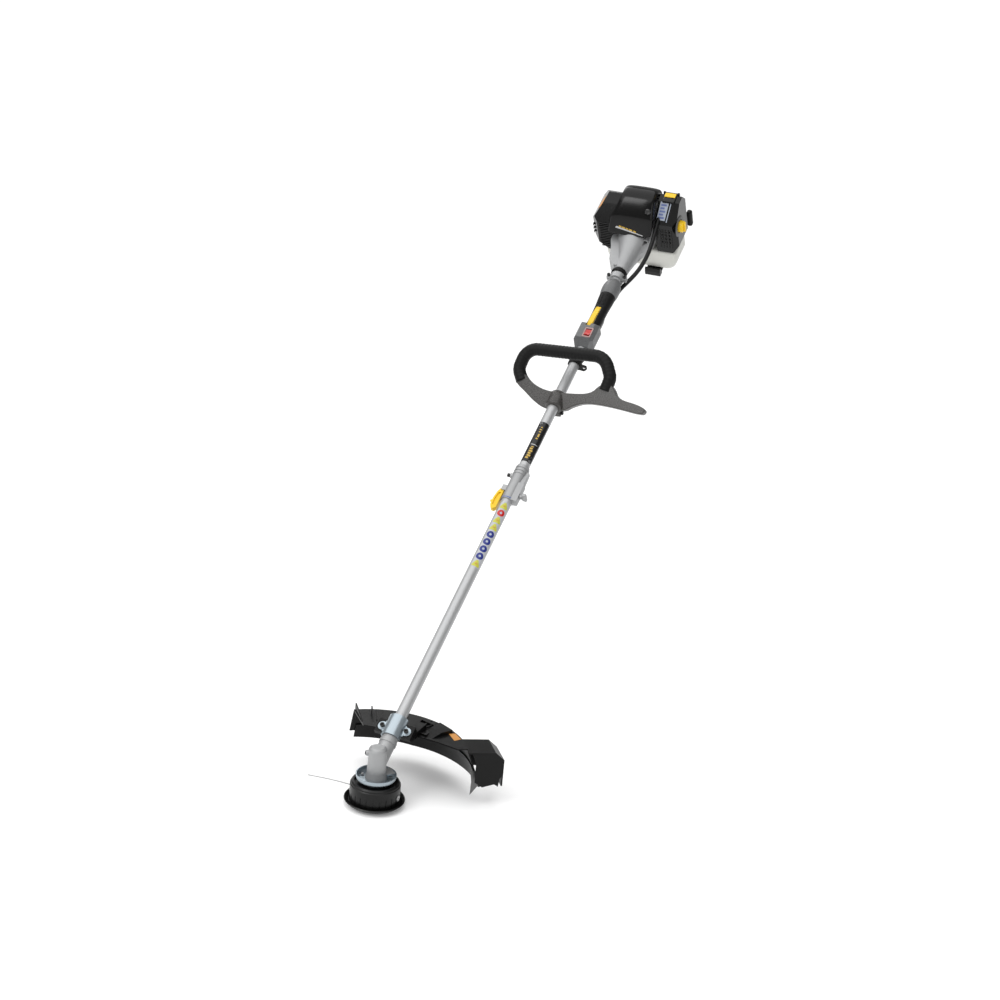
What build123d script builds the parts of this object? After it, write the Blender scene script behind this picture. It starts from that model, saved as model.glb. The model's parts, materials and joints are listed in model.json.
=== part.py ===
from build123d import *
from math import acos, atan, atan2, cos, degrees, radians, sin, tan
import os

# A petrol string trimmer with a split shaft, in millimetres.
# Origin: the ground under the bump knob. +Z runs up the output spindle and +X from the head to the engine.
# Shaft frame: x runs up the shaft from the point where its axis meets the spindle axis, y is the row's Y,
# z stands square to the shaft on its upper side. Pieces on the shaft are drawn there and placed by SHAFT.

# ---------------------------------------------------------------- driving sizes
SHAFT_ANGLE = 35.0
APEX_HEIGHT = 89.0
LOWER_TUBE_END = 792.0
POWERHEAD_SHIFT = 0.0

RUN_GAP = 0.05
SLIDE_GAP = 0.3
WORK_GAP = 1.0

TUBE_R = 13.0
TUBE_WALL = 1.5
DRIVE_R = 4.0
BUSH_LENGTH = 20.0

# Trimmer head
KNOB_R = 24.0
KNOB_FLANGE_R = 29.0
KNOB_FLANGE_T = 2.0
KNOB_TRAVEL = 6.0
DISH_CLEARANCE = 2.0
DISH_FLAT_R = 42.0
DISH_RIM_R = 64.5
DISH_RIM_H = 13.0
DISH_WALL = 2.5
HOUSING_R = 53.5
HOUSING_WALL = 3.5
HOUSING_FOOT = 9.0
HOUSING_SHOULDER = 47.0
HOUSING_TOP = 54.0
HOUSING_BEVEL = 4.0
HOUSING_PLATE = 3.0
HUB_R = 12.0
SPOOL_R = 44.0
SPOOL_BARREL_R = 18.5
SPOOL_WALL = 2.2
SPOOL_FLANGE = 2.5
WINDING_R = 37.0
LINE_R = 1.2
EYELET_H = 27.0
EYELET_R = 4.4
GROOVES = 24
GROOVE_DEPTH = 1.3
SPRING_R = 14.2
SPRING_WIRE_R = 1.0
SPRING_TURNS = 5

# Bevel gears that share the apex of the two axes
GEAR_TEETH = 18
PINION_TEETH = 12
GEAR_CONE = 25.3
GEAR_FACE = 7.0
GEAR_HEIGHT = 28.0
ADDENDUM = 1.1
DEDENDUM = 1.7
TOOTH_FILL = 0.84
FLANK_ANGLE = 20.0
SPINDLE_R = 6.0
SPINDLE_END_R = 5.0
SPINDLE_COLLAR_R = 9.0
DRIVE_FLANGE_R = 22.0

# Gear case
CASE_BASE = 58.0
CASE_TOP = 131.0
BARREL_R = 19.5
BARREL_BASE_R = 22.5
CHAMBER_R = 15.6
SOCKET_R = 17.5
SOCKET_END = 118.0
TUBE_SEAT = 62.0
LOW_BEARING = (6.0, 14.0, 62.0, 72.0)
TOP_BEARING = (5.0, 11.0, 117.5, 126.0)
PINION_BEARINGS = ((6.0, 12.0, 29.0, 37.0), (6.0, 12.0, 48.0, 56.0))
CUP_R = 43.0
CUP_FLOOR_R = 38.0
CUP_WALL = 2.0
CUP_RISE = 13.0

# Guard
BRACKET_S0 = 68.0
BRACKET_S1 = 117.0
BRACKET_T = 2.5
EAR_S = 91.0
EAR_Y = 28.0
EAR_R = 10.0
DECK_Z = 124.0
DECK_T = 3.0
DECK_R = 190.0
DECK_FRONT_X = 99.0
DECK_FRONT_R = 500.0
DECK_FRONT_Y = -48.0
GUARD_LEFT = 43.0
EXTENSION_LEFT = 40.0
GUARD_RIGHT = -57.0
SKIRT_SLOPE = 0.38
SKIRT_T = 3.0
SKIRT_Z = 66.0
EXTENSION_Z = 38.0
EXTENSION_TOP = 84.0
CUTTER_T = 2.0

# Shaft coupler
COUPLER_S0 = 731.0
COUPLER_S1 = 835.0
COUPLER_R = 15.5
COUPLER_RING_R = 16.8
JOINT_S = 796.0
LEVER_PIVOT = (762.0, 19.6)
KNOB_S = 752.0
LATCH_S = 806.0

# Handles
LOOP_S = 1055.0
LOOP_LEAN = 57.0
LOOP_ROLL = 7.0
LOOP_PLATE = 15.0
LOOP_CLAMP_R = 21.0
LOOP_BOLTS = (-18.0, 8.0)
LOOP_BOLT_Z = -24.0
SCREW_CLEAR = 0.1
GRIP_R = 15.5
GRIP_CORE_R = 7.5
HARNESS_S = 1174.0
HARNESS_LENGTH = 36.0
HARNESS_R = 16.5
EYELET_HOLE_R = 4.5
EYELET_Y = -24.5
EYELET_N = -7.0
EYELET_PLATE = 5.0
BOX_S0 = 1228.0
BOX_S1 = 1298.0
HANDLE_CORE_R = 15.5
DOME_S0 = 1416.0
DOME_S1 = 1471.0
DOME_R = 23.5
SWITCH_S = 1258.0
SWITCH_Y = -9.0
SWITCH_HALF = 7.0
SWITCH_REACH = 10.0
SWITCH_TOP = 34.0
TRIGGER_PIVOT = (1296.0, -20.0)
LOCKOUT_PIVOT = (1291.0, 19.0)
PIN_R = 1.5
CONDUIT_R = 5.5

# Engine
NECK_S0 = 1478.0
NECK_R = 18.5
CONE_S0 = 1508.0
TUBE_END = 1552.0
CONE_R = 49.0
BELL_BOLTS = ((47.0, 6.0), (-37.0, 22.0))
FAN_S0 = 1640.0
FAN_S1 = 1670.0
DRUM_R = 33.0
DRUM_S0 = 1602.0
DRUM_S1 = 1626.0
DRUM_HUB_S0 = 1561.0
DRUM_HUB_R = 8.0
CRANK_R = 7.5
CASE_S0 = FAN_S1
CASE_S1 = 1734.0
CHAMBER_CRANK_R = 25.0
WEB_R = 23.0
FIN_T = 2.0
FIN_PITCH = 6.0
FIN_TOP = 92.0
CYLINDER_S = 1703.0
SHROUD_Y = 50.0
SHELL_T = 2.5
MUFFLER_COVER_Y = (SHROUD_Y, 116.0)
FILTER_Y = (-107.0, -SHROUD_Y)
TANK_Y = (-97.0, 94.0)
TANK_N = (-106.0, -46.0)
TANK_S = (1650.0, 1732.0)
TANK_WALL = 2.5
TANK_ROUND = 30.0
STARTER_S0 = 1735.0
STARTER_S1 = 1778.0
STARTER_R = 58.0
PULLEY_R = 28.0
STARTER_HANDLE_Y = -96.0
ROPE_N = -10.0
PRIMER_S = 1644.0
PRIMER_N = 93.0
PRIMER_Y = -38.0
PRIMER_R = 7.5
CHOKE_S = 1672.0
CHOKE_N = 34.0
LATCH_AXIS = (1716.0, 101.0)
LATCH_Y = (-94.0, -62.0)
CAP_Y = 42.0
CAP_N = -76.0

SHAFT = Location((0, 0, APEX_HEIGHT), (0, -SHAFT_ANGLE, 0))


# ---------------------------------------------------------------- drawing helpers
def rod_x(radius, x0, x1, y=0.0, z=0.0):
    """A round bar along x."""
    return Pos((x0 + x1) / 2, y, z) * Rot(0, 90, 0) * Cylinder(radius, x1 - x0)


def rod_y(radius, y0, y1, x=0.0, z=0.0):
    """A round bar along y."""
    return Pos(x, (y0 + y1) / 2, z) * Rot(90, 0, 0) * Cylinder(radius, y1 - y0)


def rod_z(radius, z0, z1, x=0.0, y=0.0):
    """A round bar along z."""
    return Pos(x, y, (z0 + z1) / 2) * Cylinder(radius, z1 - z0)


def block(x0, x1, y0, y1, z0, z1):
    """A box between two corners."""
    return Pos((x0 + x1) / 2, (y0 + y1) / 2, (z0 + z1) / 2) * Box(x1 - x0, y1 - y0, z1 - z0)


def turned_x(points):
    """A body turned about the x axis from (x, radius) points."""
    return revolve(make_face(Polyline([(x, r, 0) for x, r in points], close=True)), Axis.X)


def turned_z(points):
    """A body turned about the z axis from (radius, z) points."""
    return revolve(make_face(Polyline([(r, 0, z) for r, z in points], close=True)), Axis.Z)


def slab_x(points, x0, x1):
    """An outline of (y, z) points, thickened along x."""
    face = make_face(Polyline([(x0, y, z) for y, z in points], close=True))
    return extrude(face, x1 - x0, dir=(1, 0, 0))


def slab_y(points, y0, y1):
    """An outline of (x, z) points, thickened along y."""
    face = make_face(Polyline([(x, y0, z) for x, z in points], close=True))
    return extrude(face, y1 - y0, dir=(0, 1, 0))


def slab_z(points, z0, z1):
    """An outline of (x, y) points, thickened along z."""
    face = make_face(Polyline([(x, y, z0) for x, y in points], close=True))
    return extrude(face, z1 - z0, dir=(0, 0, 1))


def ring_x(r_in, r_out, x0, x1):
    """A ring around the x axis."""
    return rod_x(r_out, x0, x1) - rod_x(r_in, x0, x1)


def ring_z(r_in, r_out, z0, z1):
    """A ring around the z axis."""
    return rod_z(r_out, z0, z1) - rod_z(r_in, z0, z1)


def swept(path, radius):
    """A round bar along a path."""
    return sweep(Plane(origin=path @ 0, z_dir=path % 0) * Circle(radius), path=path)


def cap_screw(length, radius=2.5, head_r=4.3, head=4.5):
    """A socket-head screw: its head stands on z = 0 and its shank runs down."""
    screw = rod_z(head_r, 0, head) + rod_z(radius, -length, 0)
    return screw - extrude(Pos(0, 0, head) * RegularPolygon(2.4, 6), -2.5)


def group(pieces):
    """Separate solids that share one node."""
    return Compound(children=[piece.solid() for piece in pieces])


# ---------------------------------------------------------------- trimmer head
SPOOL_FOOT = DISH_CLEARANCE + DISH_WALL + KNOB_FLANGE_T + KNOB_TRAVEL + 0.5
SPOOL_TOP = HOUSING_SHOULDER - HOUSING_PLATE - 4.0
DISH_FLOOR = DISH_CLEARANCE + DISH_WALL
SPRING_TOP = SPOOL_TOP - SPOOL_FLANGE
LINE_ROUTE = [(0, 51, 27), (0, 78, 27), (-1.5, 104, 26.6), (-3.6, 130, 25.8), (-6.4, 156, 24.6)]


def bump_knob():
    knob = rod_z(KNOB_R, 0, DISH_FLOOR + RUN_GAP) + rod_z(
        KNOB_FLANGE_R, DISH_FLOOR + RUN_GAP, DISH_FLOOR + KNOB_FLANGE_T
    )
    return chamfer(knob.edges().group_by(Axis.Z)[0], 1.5)


def skid_dish():
    hole = KNOB_R + SLIDE_GAP
    return turned_z([
        (hole, DISH_CLEARANCE), (DISH_FLAT_R, DISH_CLEARANCE), (DISH_RIM_R - 6.5, 6.5),
        (DISH_RIM_R, DISH_RIM_H), (DISH_RIM_R - 1.6, DISH_RIM_H + 1.8), (HOUSING_R + 1.5, HOUSING_FOOT),
        (HOUSING_R - HOUSING_WALL, HOUSING_FOOT), (HOUSING_R - HOUSING_WALL - 4, DISH_FLOOR), (hole, DISH_FLOOR),
    ])


def head_housing():
    inner = HOUSING_R - HOUSING_WALL
    shell = turned_z([
        (inner, HOUSING_FOOT), (HOUSING_R, HOUSING_FOOT), (HOUSING_R, HOUSING_SHOULDER),
        (HOUSING_R - 1.5, HOUSING_SHOULDER + 1.5), (HOUSING_R - 2, HOUSING_TOP - HOUSING_BEVEL + 1),
        (HOUSING_R - HOUSING_BEVEL - 1, HOUSING_TOP), (HOUSING_R - 8.5, HOUSING_TOP),
        (HOUSING_R - 9.5, HOUSING_SHOULDER), (SPINDLE_END_R, HOUSING_SHOULDER),
        (SPINDLE_END_R, SPOOL_FOOT), (HUB_R, SPOOL_FOOT),
        (HUB_R, HOUSING_SHOULDER - HOUSING_PLATE), (inner, HOUSING_SHOULDER - HOUSING_PLATE),
    ])
    for index in range(GROOVES):
        angle = 360 / GROOVES * (index + 0.5)
        shell -= Rot(0, 0, angle) * block(HOUSING_R - GROOVE_DEPTH, HOUSING_R + 2, -0.8, 0.8, HOUSING_FOOT + 2, 33)
    return shell - rod_y(EYELET_R, -HOUSING_R - 2, HOUSING_R + 2, z=EYELET_H) + ring_z(
        SPINDLE_END_R, HUB_R, SPOOL_FOOT, HOUSING_SHOULDER - HOUSING_PLATE
    )


def line_spool():
    bore = SPOOL_BARREL_R - SPOOL_WALL
    return turned_z([
        (bore, SPOOL_FOOT), (SPOOL_R, SPOOL_FOOT), (SPOOL_R, SPOOL_FOOT + SPOOL_FLANGE),
        (SPOOL_BARREL_R, SPOOL_FOOT + SPOOL_FLANGE), (SPOOL_BARREL_R, SPOOL_TOP - SPOOL_FLANGE),
        (SPOOL_R, SPOOL_TOP - SPOOL_FLANGE), (SPOOL_R, SPOOL_TOP), (HUB_R + RUN_GAP, SPOOL_TOP),
        (HUB_R + RUN_GAP, SPRING_TOP), (bore, SPRING_TOP),
    ])


def line_winding():
    low = SPOOL_FOOT + SPOOL_FLANGE
    high = SPOOL_TOP - SPOOL_FLANGE
    return turned_z([
        (SPOOL_BARREL_R, low), (WINDING_R - 3, low), (WINDING_R, low + 3), (WINDING_R, high - 3),
        (WINDING_R - 3, high), (SPOOL_BARREL_R, high),
    ])


def line_eyelets():
    bore = LINE_R + 0.6
    eyelet = rod_y(EYELET_R, HOUSING_R - 4.5, HOUSING_R) + rod_y(EYELET_R + 1.8, HOUSING_R, HOUSING_R + 1.4)
    eyelet -= rod_y(bore, HOUSING_R - 6, HOUSING_R + 3)
    eyelet = Pos(0, 0, EYELET_H) * eyelet
    return group([eyelet, Rot(0, 0, 180) * eyelet])


def cutting_line():
    """The free end of the nylon line: straight runs joined by arcs as large as the runs allow."""
    points = [Vector(*p) for p in LINE_ROUTE]
    radii = []
    for before, here, after in zip(points, points[1:], points[2:]):
        turn = (here - before).get_angle(after - here)
        shorter = min((here - before).length, (after - here).length)
        radii.append(0.45 * shorter / tan(radians(turn / 2)))
    print("cutting line radii", [round(r) for r in radii])
    return swept(FilletPolyline(*points, radius=radii), LINE_R)


def drive_flange():
    return ring_z(SPINDLE_END_R, DRIVE_FLANGE_R, HOUSING_SHOULDER, HOUSING_SHOULDER + 3)


def bump_spring():
    low = DISH_FLOOR + KNOB_FLANGE_T + SPRING_WIRE_R + RUN_GAP
    high = SPRING_TOP - SPRING_WIRE_R - RUN_GAP
    coil = Helix(pitch=(high - low) / SPRING_TURNS, height=high - low, radius=SPRING_R)
    return Pos(0, 0, low) * swept(coil, SPRING_WIRE_R)


# ---------------------------------------------------------------- gears and spindle
CONTACT_ANGLE = 90.0 - SHAFT_ANGLE
RATIO = GEAR_TEETH / PINION_TEETH
PINION_PITCH = degrees(atan(sin(radians(CONTACT_ANGLE)) / (RATIO + cos(radians(CONTACT_ANGLE)))))
GEAR_PITCH = CONTACT_ANGLE - PINION_PITCH


def cone_point(length, cone, turn):
    """A point at a distance from the apex, on a cone about z, at an angle round it."""
    a, b = radians(cone), radians(turn)
    return (length * sin(a) * cos(b), length * sin(a) * sin(b), length * cos(a))


def bevel_tooth(pitch_cone, teeth):
    """One tapered tooth, whose flanks all meet at the apex."""
    pitch_r = GEAR_CONE * sin(radians(pitch_cone))
    tip = pitch_cone + degrees(atan(ADDENDUM / GEAR_CONE))
    root = pitch_cone - degrees(atan(DEDENDUM / GEAR_CONE)) - 0.6
    half = 90.0 / teeth * TOOTH_FILL
    wide = half + degrees(DEDENDUM * tan(radians(FLANK_ANGLE)) / pitch_r)
    narrow = half - degrees(ADDENDUM * tan(radians(FLANK_ANGLE)) / pitch_r)
    ends = []
    for length in (GEAR_CONE - GEAR_FACE, GEAR_CONE):
        corners = [(root, -wide), (tip, -narrow), (tip, narrow), (root, wide)]
        ends.append(make_face(Polyline([cone_point(length, c, t) for c, t in corners], close=True)))
    return loft(ends, ruled=True)


def bevel_body(pitch_cone, bore, hub_r, hub_z, front=0.0):
    """The cone that the teeth stand on, with its hub."""
    root = radians(pitch_cone - degrees(atan(DEDENDUM / GEAR_CONE)))
    near, far = GEAR_CONE - GEAR_FACE, GEAR_CONE
    return turned_z([
        (bore, near * cos(root) + front), (near * sin(root), near * cos(root)),
        (far * sin(root), far * cos(root)), (hub_r, far * cos(root) + 2), (hub_r, hub_z), (bore, hub_z),
    ])


def bevel_gear():
    gear = bevel_body(GEAR_PITCH, SPINDLE_R, 9.5, GEAR_HEIGHT)
    tooth = bevel_tooth(GEAR_PITCH, GEAR_TEETH)
    for index in range(GEAR_TEETH):
        gear += Rot(0, 0, 360 / GEAR_TEETH * index) * tooth
    return Pos(0, 0, APEX_HEIGHT) * gear


def bevel_pinion():
    """The pinion and its hollow stub, drawn about z and then laid along the shaft."""
    pinion = bevel_body(PINION_PITCH, 0.0, 7.2, 27.0)
    tooth = bevel_tooth(PINION_PITCH, PINION_TEETH)
    for index in range(PINION_TEETH):
        pinion += Rot(0, 0, 360 / PINION_TEETH * (index + 0.5)) * tooth
    stub = rod_z(PINION_BEARINGS[0][0] - 0.02, 27, TUBE_SEAT - 2)
    pinion = pinion + stub - rod_z(DRIVE_R, TUBE_SEAT - 16, TUBE_SEAT)
    return SHAFT * Rot(0, 90, 0) * Rot(0, 0, 180) * pinion


def output_spindle():
    return turned_z([
        (0, SPOOL_FOOT + 8), (SPINDLE_END_R, SPOOL_FOOT + 8), (SPINDLE_END_R, HOUSING_SHOULDER + 3),
        (SPINDLE_COLLAR_R, HOUSING_SHOULDER + 3), (SPINDLE_COLLAR_R, LOW_BEARING[2] - 0.5),
        (SPINDLE_R - 0.02, LOW_BEARING[2] - 0.5), (SPINDLE_R - 0.02, LOW_BEARING[3]),
        (SPINDLE_R, LOW_BEARING[3] + 0.5), (SPINDLE_R, APEX_HEIGHT + GEAR_HEIGHT),
        (SPINDLE_END_R - 0.02, APEX_HEIGHT + GEAR_HEIGHT), (SPINDLE_END_R - 0.02, TOP_BEARING[3] + 0.5),
        (0, TOP_BEARING[3] + 0.5),
    ])


# ---------------------------------------------------------------- gear case
def gear_case():
    barrel = turned_z([
        (0, CASE_BASE), (BARREL_BASE_R, CASE_BASE), (BARREL_BASE_R, CASE_BASE + 5), (BARREL_R + 1, CASE_BASE + 14),
        (BARREL_R, CASE_TOP - 22), (BARREL_R, CASE_TOP - 6), (BARREL_R - 2, CASE_TOP - 2.5),
        (BARREL_R - 6, CASE_TOP), (0, CASE_TOP),
    ])
    socket = SHAFT * (rod_x(SOCKET_R, 4, SOCKET_END) + rod_x(SOCKET_R + 1.5, 52, 60))
    lug = SHAFT * block(74, 92, -7, 7, -SOCKET_R - 7, -SOCKET_R + 3)
    plug = Pos(0, 0, CASE_TOP - 18) * Rot(0, 0, 100) * rod_x(6, BARREL_R - 4, BARREL_R + 4.5)
    shield = Rot(0, 0, -38) * block(12, CUP_FLOOR_R - 1, -13, 13, CASE_BASE + 11, CASE_BASE + 13.5)
    web = Rot(0, 0, -38) * slab_y([
        (BARREL_R - 2, CASE_BASE + 11), (CUP_FLOOR_R - 8, CASE_BASE + 11), (BARREL_R - 2, CASE_BASE + 5)], -2, 2)
    case = barrel + socket + lug + plug + shield + web
    case -= rod_z(CHAMBER_R, LOW_BEARING[3], TOP_BEARING[2])
    case -= rod_z(LOW_BEARING[1], LOW_BEARING[2], LOW_BEARING[3])
    case -= rod_z(SPINDLE_COLLAR_R + WORK_GAP, CASE_BASE - 1, LOW_BEARING[2])
    case -= rod_z(TOP_BEARING[1], TOP_BEARING[2], TOP_BEARING[3] + 1)
    case -= SHAFT * rod_x(PINION_BEARINGS[0][1], 2, TUBE_SEAT)
    case -= SHAFT * rod_x(TUBE_R, TUBE_SEAT - 0.01, SOCKET_END + 1)
    slit = SHAFT * block(66, SOCKET_END + 1, -1.2, 1.2, -SOCKET_R - 8, -TUBE_R + 2)
    hole = SHAFT * rod_y(2.5, -8, 8, x=83, z=-SOCKET_R - 3.4)
    inner = Pos(0, 0, CASE_TOP - 18) * Rot(0, 0, 100) * rod_x(3, CHAMBER_R - 2, BARREL_R + 5)
    return case - slit - hole - inner


def bearing(r_in, r_out, low, high):
    """One bearing about z, with a groove round each face for its shields."""
    ring = ring_z(r_in, r_out, low, high)
    middle = (r_in + r_out) / 2
    groove = ring_z(middle - 1, middle + 1, 0, 0.8)
    return ring - Pos(0, 0, low) * groove - Pos(0, 0, high - 0.8) * groove


def lay_along_shaft(piece):
    """Turn a piece drawn about z so that it lies along the shaft."""
    return SHAFT * Rot(0, 90, 0) * piece


LOWER_BUSHES = (128.0, 300.0, 470.0, 640.0, 764.0)
UPPER_BUSHES = (850.0, 1020.0, 1190.0, 1360.0, 1524.0)


def drive_bush(start):
    """A plastic bush that centres the drive shaft in its tube."""
    return SHAFT * ring_x(DRIVE_R + RUN_GAP, TUBE_R - TUBE_WALL, start, start + BUSH_LENGTH)


def attachment_bearings():
    pieces = [bearing(*LOW_BEARING), bearing(*TOP_BEARING)]
    pieces += [lay_along_shaft(bearing(*size)) for size in PINION_BEARINGS]
    return group(pieces + [drive_bush(start) for start in LOWER_BUSHES])


def wrap_guard_cup():
    floor = CASE_BASE - CUP_WALL
    return turned_z([
        (SPINDLE_COLLAR_R + WORK_GAP, floor), (CUP_FLOOR_R, floor), (CUP_R - 1, floor + 5),
        (CUP_R, floor + CUP_RISE), (CUP_R - CUP_WALL, floor + CUP_RISE), (CUP_R - CUP_WALL - 1, floor + 5.5),
        (CUP_FLOOR_R - 0.8, CASE_BASE), (SPINDLE_COLLAR_R + WORK_GAP, CASE_BASE),
    ])


def attachment_screws():
    head = SHAFT * Pos(83, 8.0, -SOCKET_R - 3.4) * Rot(-90, 0, 0)
    clamp = SHAFT * Pos(83, 7.0, -SOCKET_R - 3.4) * Rot(-90, 0, 0) * cap_screw(14)
    plug = Pos(0, 0, CASE_TOP - 18) * Rot(0, 0, 100) * (
        rod_x(3, CHAMBER_R + 1, BARREL_R + 4.5) + rod_x(4.5, BARREL_R + 4.5, BARREL_R + 7))
    guard = [
        SHAFT * Pos(EAR_S, side * EAR_Y, BRACKET_T) * cap_screw(15, radius=3, head_r=5, head=5)
        for side in (1, -1)
    ]
    return group([clamp, plug] + guard)


# ---------------------------------------------------------------- guard
def guard_bracket():
    """The plated saddle over the socket, with one ear each side for the guard's screws."""
    inner = SOCKET_R + 1.5 + RUN_GAP
    saddle = ring_x(inner, inner + BRACKET_T, BRACKET_S0, BRACKET_S1)
    saddle = saddle & block(BRACKET_S0, BRACKET_S1, -30, 30, 0, 30)
    for side in (1, -1):
        ear = block(EAR_S - 13, EAR_S + 13, 0, EAR_Y - 4, 0, BRACKET_T) + rod_z(EAR_R, 0, BRACKET_T, EAR_S, EAR_Y)
        ear += block(EAR_S - EAR_R, EAR_S + EAR_R, 10, EAR_Y, 0, BRACKET_T)
        ear -= rod_z(3, -1, 4, EAR_S, EAR_Y)
        ear = ear if side > 0 else mirror(ear, Plane.XZ)
        saddle += ear - rod_x(inner, BRACKET_S0 - 20, BRACKET_S1 + 20)
    return SHAFT * saddle


def skirt_radius(z):
    """The skirt's outer radius about the spindle, which grows towards the ground."""
    return DECK_R + (DECK_Z + DECK_T - z) * SKIRT_SLOPE


def skirt_band(z_low, z_high, inset, thickness, start, end):
    """Part of the conical skirt, between two heights and two angles about the spindle."""
    outer_low, outer_high = skirt_radius(z_low) - inset, skirt_radius(z_high) - inset
    face = make_face(Polyline([
        (outer_low - thickness, 0, z_low), (outer_low, 0, z_low),
        (outer_high, 0, z_high), (outer_high - thickness, 0, z_high)], close=True))
    return revolve(Rot(0, 0, start) * face, Axis.Z, revolution_arc=end - start)


END_ANGLE = -52.0
END_R0, END_R1 = 204.0, 266.0


def guard_shield():
    reach = DECK_R * 1.6
    wedge = [(0, 0)] + [
        (reach * cos(radians(a)), reach * sin(radians(a))) for a in (GUARD_RIGHT, -25, 10, GUARD_LEFT)]
    deck = rod_z(DECK_R, DECK_Z, DECK_Z + DECK_T) & slab_z(wedge, DECK_Z, DECK_Z + DECK_T)
    front = Pos(DECK_FRONT_X - DECK_FRONT_R, DECK_FRONT_Y, 0) * rod_z(DECK_FRONT_R, DECK_Z - 30, DECK_Z + 30)
    deck -= front
    skirt = skirt_band(SKIRT_Z, DECK_Z + DECK_T, 0, SKIRT_T, GUARD_RIGHT, GUARD_LEFT)
    shield = deck + skirt
    # Ribs and raised panels on the deck
    for angle, low, high, rise in ((GUARD_LEFT - 1.2, 128, DECK_R, 15), (31.5, 124, DECK_R - 12, 13)):
        fin = slab_y([(low, DECK_Z), (high, DECK_Z), (high, DECK_Z + DECK_T + rise),
                      (high - 14, DECK_Z + DECK_T + rise - 3), (low, DECK_Z + DECK_T)], -1.4, 1.4)
        shield += Rot(0, 0, angle) * fin
    shield += Rot(0, 0, -26) * slab_y([
        (125, DECK_Z + 1), (DECK_R - 8, DECK_Z + 1), (DECK_R - 8, DECK_Z + 10), (150, DECK_Z + 11),
        (125, DECK_Z + DECK_T)], -22, 20)
    pocket = slab_z([(118, -24), (168, -20), (158, -58), (112, -54)], DECK_Z - 1, DECK_Z + DECK_T + 12)
    rim = slab_z([(112, -20), (176, -14), (165, -64), (106, -60)], DECK_Z, DECK_Z + DECK_T + 4)
    shield = shield + rim - pocket + slab_z(
        [(116, -22), (170, -18), (160, -60), (110, -56)], DECK_Z, DECK_Z + 1.5)
    # Bosses that carry the bracket's screws, and the arch that lets the socket through
    boss = block(76, 108, -42, 42, -26, 0) - block(108, 120, -50, 50, -40, 10)
    boss = SHAFT * boss & block(40, 125, -60, 60, DECK_Z, 190)
    pad = [block(88, 140, y0, y1, DECK_Z, DECK_Z + DECK_T + 12) for y0, y1 in ((18, 44), (-44, -18))]
    shield = shield + boss + pad[0] + pad[1]
    shield -= SHAFT * rod_x(SOCKET_R + 1.5 + RUN_GAP, 0, 250)
    shield -= SHAFT * block(0, 250, -SOCKET_R, SOCKET_R, 0, 60)
    shield -= SHAFT * (block(EAR_S - 16, EAR_S + 16, -45, 45, 0, 40))
    shield -= SHAFT * block(60, 95, -8.5, 8.5, -SOCKET_R - 8, 0)
    for side in (1, -1):
        shield -= SHAFT * rod_z(3, -13, 3, EAR_S, side * EAR_Y)
    # The bulge at the operator's left end, open towards the head
    bulge = slab_y([(DECK_R - 10, 121), (DECK_R - 4, 127), (END_R1 - 20, 124), (END_R1, 106), (END_R1, 46),
                    (END_R1 - 3, 46), (END_R1 - 3, 104), (END_R1 - 21, 120), (DECK_R - 6, 123)], -34, 30)
    back = slab_y([(DECK_R, 70), (DECK_R, 124), (END_R1 - 22, 121), (END_R1 - 2, 104), (END_R1 - 2, 60)], 26, 30)
    back = back + bulge
    back -= turned_z([(0, 0), (skirt_radius(0) - 1, 0), (skirt_radius(200) - 1, 200), (0, 200)])
    return shield + Rot(0, 0, END_ANGLE) * back


def guard_extension():
    """The clip-on skirt that the string head needs, inside the guard's own skirt."""
    wall = skirt_band(EXTENSION_Z, EXTENSION_TOP, SKIRT_T + SLIDE_GAP, SKIRT_T - 0.5, GUARD_RIGHT, EXTENSION_LEFT)
    lip = skirt_band(EXTENSION_Z, EXTENSION_Z + 3, SKIRT_T - 2, 3, GUARD_RIGHT, EXTENSION_LEFT)
    return wall + lip - slab_x([(20, 30), (180, 30), (180, 52), (20, EXTENSION_Z)], 50, 300)


def line_cutter():
    """The small steel blade that trims the line to length, on the end of the extension."""
    inner = skirt_radius(EXTENSION_Z) - 3 * SKIRT_T
    plate = slab_y([(inner - 13, 20), (inner + 4, 44), (inner - 5, 76), (inner - 16, 76), (inner - 12, 50)],
                   -CUTTER_T, 0)
    return Rot(0, 0, GUARD_RIGHT) * plate


# ---------------------------------------------------------------- tubes and drive shafts
def lower_tube():
    return SHAFT * ring_x(TUBE_R - TUBE_WALL, TUBE_R, TUBE_SEAT, LOWER_TUBE_END)


def upper_tube():
    return SHAFT * ring_x(TUBE_R - TUBE_WALL, TUBE_R, JOINT_S, TUBE_END)


SQUARE = 5.4
SOCKET_DEPTH = 16.0


def lower_drive_shaft():
    male = block(LOWER_TUBE_END + 2, JOINT_S + SOCKET_DEPTH, -SQUARE / 2, SQUARE / 2, -SQUARE / 2, SQUARE / 2)
    return SHAFT * (rod_x(DRIVE_R, TUBE_SEAT - 16, LOWER_TUBE_END + 3) + male)


def upper_drive_shaft():
    half = SQUARE / 2 + 0.08
    socket = rod_x(8, JOINT_S + 1, JOINT_S + 30)
    shaft = socket + rod_x(DRIVE_R, JOINT_S + 25, DRUM_HUB_S0)
    return SHAFT * (shaft - block(JOINT_S, JOINT_S + SOCKET_DEPTH + 2, -half, half, -half, half))


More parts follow.
